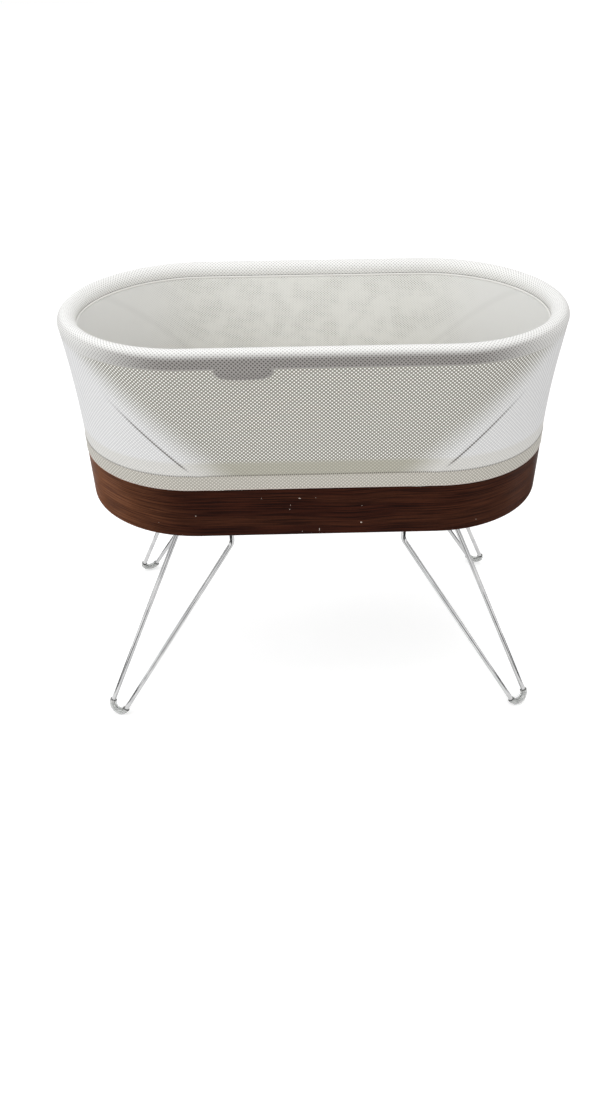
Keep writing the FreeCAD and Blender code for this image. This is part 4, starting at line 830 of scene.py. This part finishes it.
sleeve_paint, tree, shader = material("clear_sleeve")
cloud = put(tree, "ShaderNodeTexNoise",
            {"Vector": object_place(tree), "Scale": 90.0, "Detail": 3.0}).outputs[0]
scuff = put(tree, "ShaderNodeTexNoise",
            {"Vector": object_place(tree), "Scale": 700.0, "Detail": 2.0}).outputs[0]
dye(tree, shader, ramp(tree, cloud, 0.35, 0.65), colour(226, 228, 226), colour(240, 241, 239))
tree.links.new(ramp(tree, scuff, 0.4, 0.7, 0.14, 0.22), shader.inputs["Roughness"])
shader.inputs["Transmission Weight"].default_value = 0.9
shader.inputs["IOR"].default_value = 1.42
emboss(tree, shader, scuff, 0.04, 0.00005)
finish_node("foot_pads", sleeve_paint)

# Pivot: a turned aluminium post on the plate carries a ground ball bearing, held by a nut. The platform's
# hub sits on the outer race, so the whole platform turns a few degrees each way.

metal("turned_aluminium", ["pivot_post", "platform_hub"], colour(190, 192, 194), colour(208, 209, 211),
      0.28, stretch=(1, 1, 6))
metal("ground_steel", ["bearing_inner_race", "bearing_balls", "bearing_outer_race"],
      colour(188, 189, 192), colour(204, 204, 207), 0.12)
metal("pivot_fixings", ["post_screws", "pivot_nut", "hub_screws"], colour(172, 174, 176),
      colour(196, 197, 199), 0.3)

# Platform: birch ply, cut to an oval and lacquered, so that its plies show round the edge. Two moulded clips
# stand at its sides to hold a sleep sack's wings, and it slides at its ends on four acetal pads.

platform_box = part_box("platform")
PLY = 0.0014
ply_paint, tree, shader = material("birch_ply")
place = object_place(tree)
wood = use_group(tree, grain, {"Vector": place, "Streak": 5.0, "Across": 160.0})
face = blend_colour(tree, wood.outputs["Streaks"], colour(206, 176, 134), colour(226, 200, 160))
face = blend_colour(tree, calc(tree, "MULTIPLY", wood.outputs["Pores"], 0.25), face, colour(168, 132, 92))
up = put(tree, "ShaderNodeSeparateXYZ", {0: place}).outputs[2]
layer = calc(tree, "SINE",
             calc(tree, "MULTIPLY", calc(tree, "SUBTRACT", up, platform_box[0][2]), math.pi / PLY))
layers = blend_colour(tree, ramp(tree, layer, -0.25, 0.25), colour(158, 118, 78), colour(214, 184, 142))
upright = put(tree, "ShaderNodeSeparateXYZ",
              {0: put(tree, "ShaderNodeNewGeometry").outputs["Normal"]}).outputs[2]
on_edge = ramp(tree, calc(tree, "ABSOLUTE", upright), 0.8, 0.5)
dye(tree, shader, on_edge, face, layers)
tree.links.new(ramp(tree, wood.outputs["Streaks"], 0.3, 0.7, 0.38, 0.5), shader.inputs["Roughness"])
emboss(tree, shader, wood.outputs["Streaks"], 0.15, 0.0002)
finish_node("platform", ply_paint)
moulding("clip_moulding", ["sack_clips"], colour(226, 225, 221), colour(234, 233, 230), 0.36, dust=0.05)
moulding("acetal", ["glide_pads"], colour(228, 227, 219), colour(236, 235, 229), 0.28, grain_scale=1200.0,
         dust=0.02)
metal("clip_fixings", ["clip_screws"], colour(172, 174, 176), colour(196, 197, 199), 0.3)

# Mattress: a foam pad in a knitted cover, drawn snug and piped round its upper and lower edges. It lies on
# the platform and lifts out. The pad swells against its cover, so its top is gently crowned.

mattress_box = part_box("mattress")
PAD_LOW, PAD_HIGH = mattress_box[0][2], mattress_box[1][2]
PAD_R = mattress_box[1][1]
PAD_STRAIGHT = mattress_box[1][0] - PAD_R
PAD_EDGE = 0.009
PAD_SLACK = 0.002  # how much smaller the pad starts, all round
PAD_SWELL = 0.005  # how far any point may move


def pad_outline(inset, count_end=28, count_side=16):
    """The pad's plan, as points and outward directions, counter-clockwise from the front left."""
    r = PAD_R - inset
    outline = []
    for i in range(count_side):
        outline.append((Vector((-PAD_STRAIGHT + 2 * PAD_STRAIGHT * i / count_side, -r, 0)),
                        Vector((0, -1, 0))))
    for i in range(count_end):
        out = Vector((math.sin(math.pi * i / count_end), -math.cos(math.pi * i / count_end), 0))
        outline.append((Vector((PAD_STRAIGHT, 0, 0)) + out * r, out))
    return outline + [(Vector((-p.x, -p.y, 0)), -out) for p, out in outline]


points, faces = [], []
lap = pad_outline(PAD_SLACK)
rings = [(inset, PAD_LOW + low) for inset, low in ((0.0045, 0.0), (0.0013, 0.0013), (0.0, 0.0045))]
rings += [(0.0, PAD_HIGH - PAD_SLACK - PAD_EDGE), (0.0026, PAD_HIGH - PAD_SLACK - 0.0026),
          (PAD_EDGE, PAD_HIGH - PAD_SLACK)]
for inset, z in rings:
    points += [p - out * inset + Vector((0, 0, z)) for p, out in lap]
count = len(lap)
for ring in range(len(rings) - 1):
    for j in range(count):
        k = (j + 1) % count
        faces.append((ring * count + j, ring * count + k, (ring + 1) * count + k, (ring + 1) * count + j))
faces.append([count - 1 - j for j in range(count)])
faces.append([(len(rings) - 1) * count + j for j in range(count)])
pad = mesh_object("mattress_pad", points, faces)


def applied(made):
    """Applies every modifier of an object to its mesh."""
    shaped = bpy.data.meshes.new_from_object(made.evaluated_get(bpy.context.evaluated_depsgraph_get()))
    made.modifiers.clear()
    made.data = shaped


remesh = pad.modifiers.new("even", "REMESH")
remesh.mode = "VOXEL"
remesh.voxel_size = 0.0055
applied(pad)
still = [v.co.copy() for v in pad.data.vertices]
cloth = pad.modifiers.new("swell", "CLOTH")
cloth.settings.use_pressure = True
cloth.settings.uniform_pressure_force = 4.0
cloth.settings.effector_weights.gravity = 0.0
cloth.point_cache.frame_start, cloth.point_cache.frame_end = 1, 20
for step in range(1, 21):
    bpy.context.scene.frame_set(step)
applied(pad)
bpy.context.scene.frame_set(1)
for v, before in zip(pad.data.vertices, still):
    moved = v.co - before
    if moved.length > PAD_SWELL:
        moved *= PAD_SWELL / moved.length
    v.co = before + moved
    v.co.z = max(v.co.z, PAD_LOW)
subdivide = pad.modifiers.new("smooth", "SUBSURF")
subdivide.levels = subdivide.render_levels = 1
applied(pad)
pad.data.polygons.foreach_set("use_smooth", [True] * len(pad.data.polygons))

knitted, tree, shader = material("knitted_cover")
place = object_place(tree)
wale = put(tree, "ShaderNodeTexWave", {"Vector": place, "Scale": 130.0, "Distortion": 0.4},
           bands_direction="X").outputs[1]
course = put(tree, "ShaderNodeTexWave", {"Vector": place, "Scale": 150.0, "Distortion": 0.4},
             bands_direction="Y").outputs[1]
loops = calc(tree, "MULTIPLY", wale, course)
soft = put(tree, "ShaderNodeTexNoise", {"Vector": place, "Scale": 14.0, "Detail": 4.0}).outputs[0]
thread = blend_colour(tree, loops, colour(221, 219, 213), colour(240, 239, 235))
dye(tree, shader, ramp(tree, soft, 0.4, 0.7, 0.0, 0.25), thread, colour(226, 222, 212))
shader.inputs["Roughness"].default_value = 0.9
shader.inputs["Specular IOR Level"].default_value = 0.15
shader.inputs["Sheen Weight"].default_value = 0.2
emboss(tree, shader, loops, 0.3, 0.0004)
pad.data.materials.append(knitted)
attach(pad, "mattress")
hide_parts("mattress")


surface = BVHTree.FromPolygons([v.co.copy() for v in pad.data.vertices],
                               [tuple(f.vertices) for f in pad.data.polygons])
WELT_R = 0.0016


def loop_tube(name, centres, outs, radius, sides=8):
    """A closed tube through those centres. outs are its outward directions."""
    points, faces = [], []
    for centre, out in zip(centres, outs):
        for i in range(sides):
            a = 2 * math.pi * i / sides
            points.append(centre + out * radius * math.cos(a) + Vector((0, 0, radius * math.sin(a))))
    count = len(centres)
    for j in range(count):
        k = (j + 1) % count
        for i in range(sides):
            faces.append((j * sides + i, k * sides + i, k * sides + (i + 1) % sides,
                          j * sides + (i + 1) % sides))
    return mesh_object(name, points, faces)


for name, z in (("mattress_upper_welt", PAD_HIGH - 0.0050), ("mattress_lower_welt", PAD_LOW + 0.0048)):
    centres, outs = [], []
    for spot, out in pad_outline(0.0, 60, 60):
        start = spot + out * 0.02 + Vector((0, 0, z))
        hit = surface.ray_cast(start, -out)[0]
        centres.append(hit + out * WELT_R * 0.35)
        outs.append(out)
    welt = loop_tube(name, centres, outs, WELT_R)
    welt.data.materials.append(piping_paint)
    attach(welt, "mattress")

# Drive: a gearmotor bolted to the plate turns a brass pinion, which swings the toothed sector under the
# platform. The gearbox is a zinc casting, and the motor's can is drawn steel.

moulding("sector_moulding", ["sector_gear"], colour(214, 213, 205), colour(226, 225, 218), 0.34,
         grain_scale=1500.0, dust=0.03)
metal("machined_brass", ["pinion"], colour(196, 160, 88), colour(214, 180, 106), 0.26)
metal("ground_shaft", ["motor_shaft"], colour(192, 193, 196), colour(208, 208, 211), 0.15,
      stretch=(1, 1, 8))
metal("bracket_zinc", ["motor_bracket", "bracket_screws"], colour(166, 168, 170), colour(192, 193, 195),
      0.34, stretch=(0.2, 1, 1))
metal("zinc_casting", ["gearbox"], colour(142, 143, 145), colour(160, 161, 163), 0.48, marks_scale=1600.0,
      relief=0.5)
metal("drawn_can", ["motor_can"], colour(178, 179, 182), colour(198, 199, 202), 0.24, stretch=(1, 1, 0.1))

# Electrics: the control board stands on brass posts, with its parts soldered on. A small loudspeaker faces
# the grille in the tray, and the power inlet and the radio switch look out through the tray's wall.

board_paint, tree, shader = material("solder_mask")
place = object_place(tree)
traces = put(tree, "ShaderNodeTexBrick",
             {"Vector": place, "Scale": 260.0, "Mortar Size": 0.05, "Color1": (0, 0, 0, 1),
              "Color2": (0.2, 0.2, 0.2, 1), "Mortar": (1, 1, 1, 1)}).outputs[0]
mask = blend_colour(tree, put(tree, "ShaderNodeTexNoise", {"Vector": place, "Scale": 80.0}).outputs[0],
                    colour(18, 74, 48), colour(26, 92, 60))
dye(tree, shader, calc(tree, "MULTIPLY", traces, 0.5), mask, colour(62, 128, 88))
tree.links.new(ramp(tree, traces, 0, 1, 0.3, 0.42), shader.inputs["Roughness"])
finish_node("control_board", board_paint)
moulding("black_parts", ["board_components", "inlet_jack", "radio_switch_body", "button_switch"],
         colour(26, 26, 27), colour(38, 38, 38), 0.45, dust=0.04)
metal("brass_posts", ["board_standoffs"], colour(196, 160, 88), colour(214, 180, 106), 0.3)
metal("board_fixings", ["board_screws"], colour(172, 174, 176), colour(196, 197, 199), 0.3)
metal("pressed_basket", ["speaker_frame"], colour(96, 97, 99), colour(118, 119, 121), 0.42)

cone_paint, tree, shader = material("pressed_paper")
pulp = put(tree, "ShaderNodeTexNoise",
           {"Vector": object_place(tree), "Scale": 420.0, "Detail": 5.0, "Distortion": 1.2}).outputs[0]
dye(tree, shader, pulp, colour(30, 30, 31), colour(66, 64, 62))
shader.inputs["Roughness"].default_value = 0.9
emboss(tree, shader, pulp, 0.4, 0.0002)
finish_node("speaker_cone", cone_paint)
moulding("slider_moulding", ["radio_switch_slider"], colour(214, 213, 209), colour(224, 223, 220), 0.35,
         dust=0.02)

# Power button: a gloss cap in a bezel at the rear of the band, ringed by a clear light pipe. A coil spring
# returns it from a small switch behind.

moulding("gloss_moulding", ["button_bezel"], colour(206, 205, 202), colour(216, 215, 212), 0.26,
         grain_scale=3000.0, dust=0.02, depth=0.00003)
moulding("cap_moulding", ["power_button"], colour(228, 227, 224), colour(236, 235, 233), 0.2,
         grain_scale=3000.0, dust=0.0, depth=0.00003)
spring_paint, tree, shader = material("spring_wire")
drawn = use_group(tree, worked, {"Vector": object_place(tree), "Marks Scale": 1500.0})
dye(tree, shader, drawn.outputs["Blotch"], colour(170, 171, 174), colour(192, 193, 196))
tree.links.new(ramp(tree, drawn.outputs["Marks"], 0, 1, 0.2, 0.32), shader.inputs["Roughness"])
shader.inputs["Metallic"].default_value = 1.0

spring_low, spring_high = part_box("button_spring")
SPRING_WIRE_R, TURNS, STEPS = 0.0005, 5, 24
spring_length = spring_high.y - spring_low.y
spring_middle = (spring_low + spring_high) / 2
spring_r = (spring_high.x - spring_low.x) / 2 - SPRING_WIRE_R
points, faces = [], []
for i in range(TURNS * STEPS + 1):
    a = 2 * math.pi * i / STEPS
    share = i / (TURNS * STEPS)
    out = Vector((math.cos(a), 0, math.sin(a)))
    y = spring_low.y + SPRING_WIRE_R + (spring_length - 2 * SPRING_WIRE_R) * share
    centre = Vector((spring_middle.x, y, spring_middle.z)) + out * spring_r
    for side in range(SIDES):
        b = 2 * math.pi * side / SIDES
        points.append(centre + out * SPRING_WIRE_R * math.cos(b)
                      + Vector((0, SPRING_WIRE_R * math.sin(b), 0)))
for j in range(TURNS * STEPS):
    for side in range(SIDES):
        k = (side + 1) % SIDES
        faces.append((j * SIDES + side, j * SIDES + k, (j + 1) * SIDES + k, (j + 1) * SIDES + side))
faces.append(list(range(SIDES)))
faces.append([TURNS * STEPS * SIDES + SIDES - 1 - i for i in range(SIDES)])
spring = mesh_object("coil_spring", points, faces)
spring.data.materials.append(spring_paint)
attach(spring, "bassinet")
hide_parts("button_spring")
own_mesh(spring)

pipe_paint, tree, shader = material("light_pipe")
haze = put(tree, "ShaderNodeTexNoise",
           {"Vector": object_place(tree), "Scale": 500.0, "Detail": 2.0}).outputs[0]
dye(tree, shader, haze, colour(226, 238, 242), colour(242, 248, 250))
tree.links.new(ramp(tree, haze, 0.3, 0.7, 0.2, 0.32), shader.inputs["Roughness"])
shader.inputs["Transmission Weight"].default_value = 0.5
shader.inputs["IOR"].default_value = 1.49
finish_node("light_ring", pipe_paint)
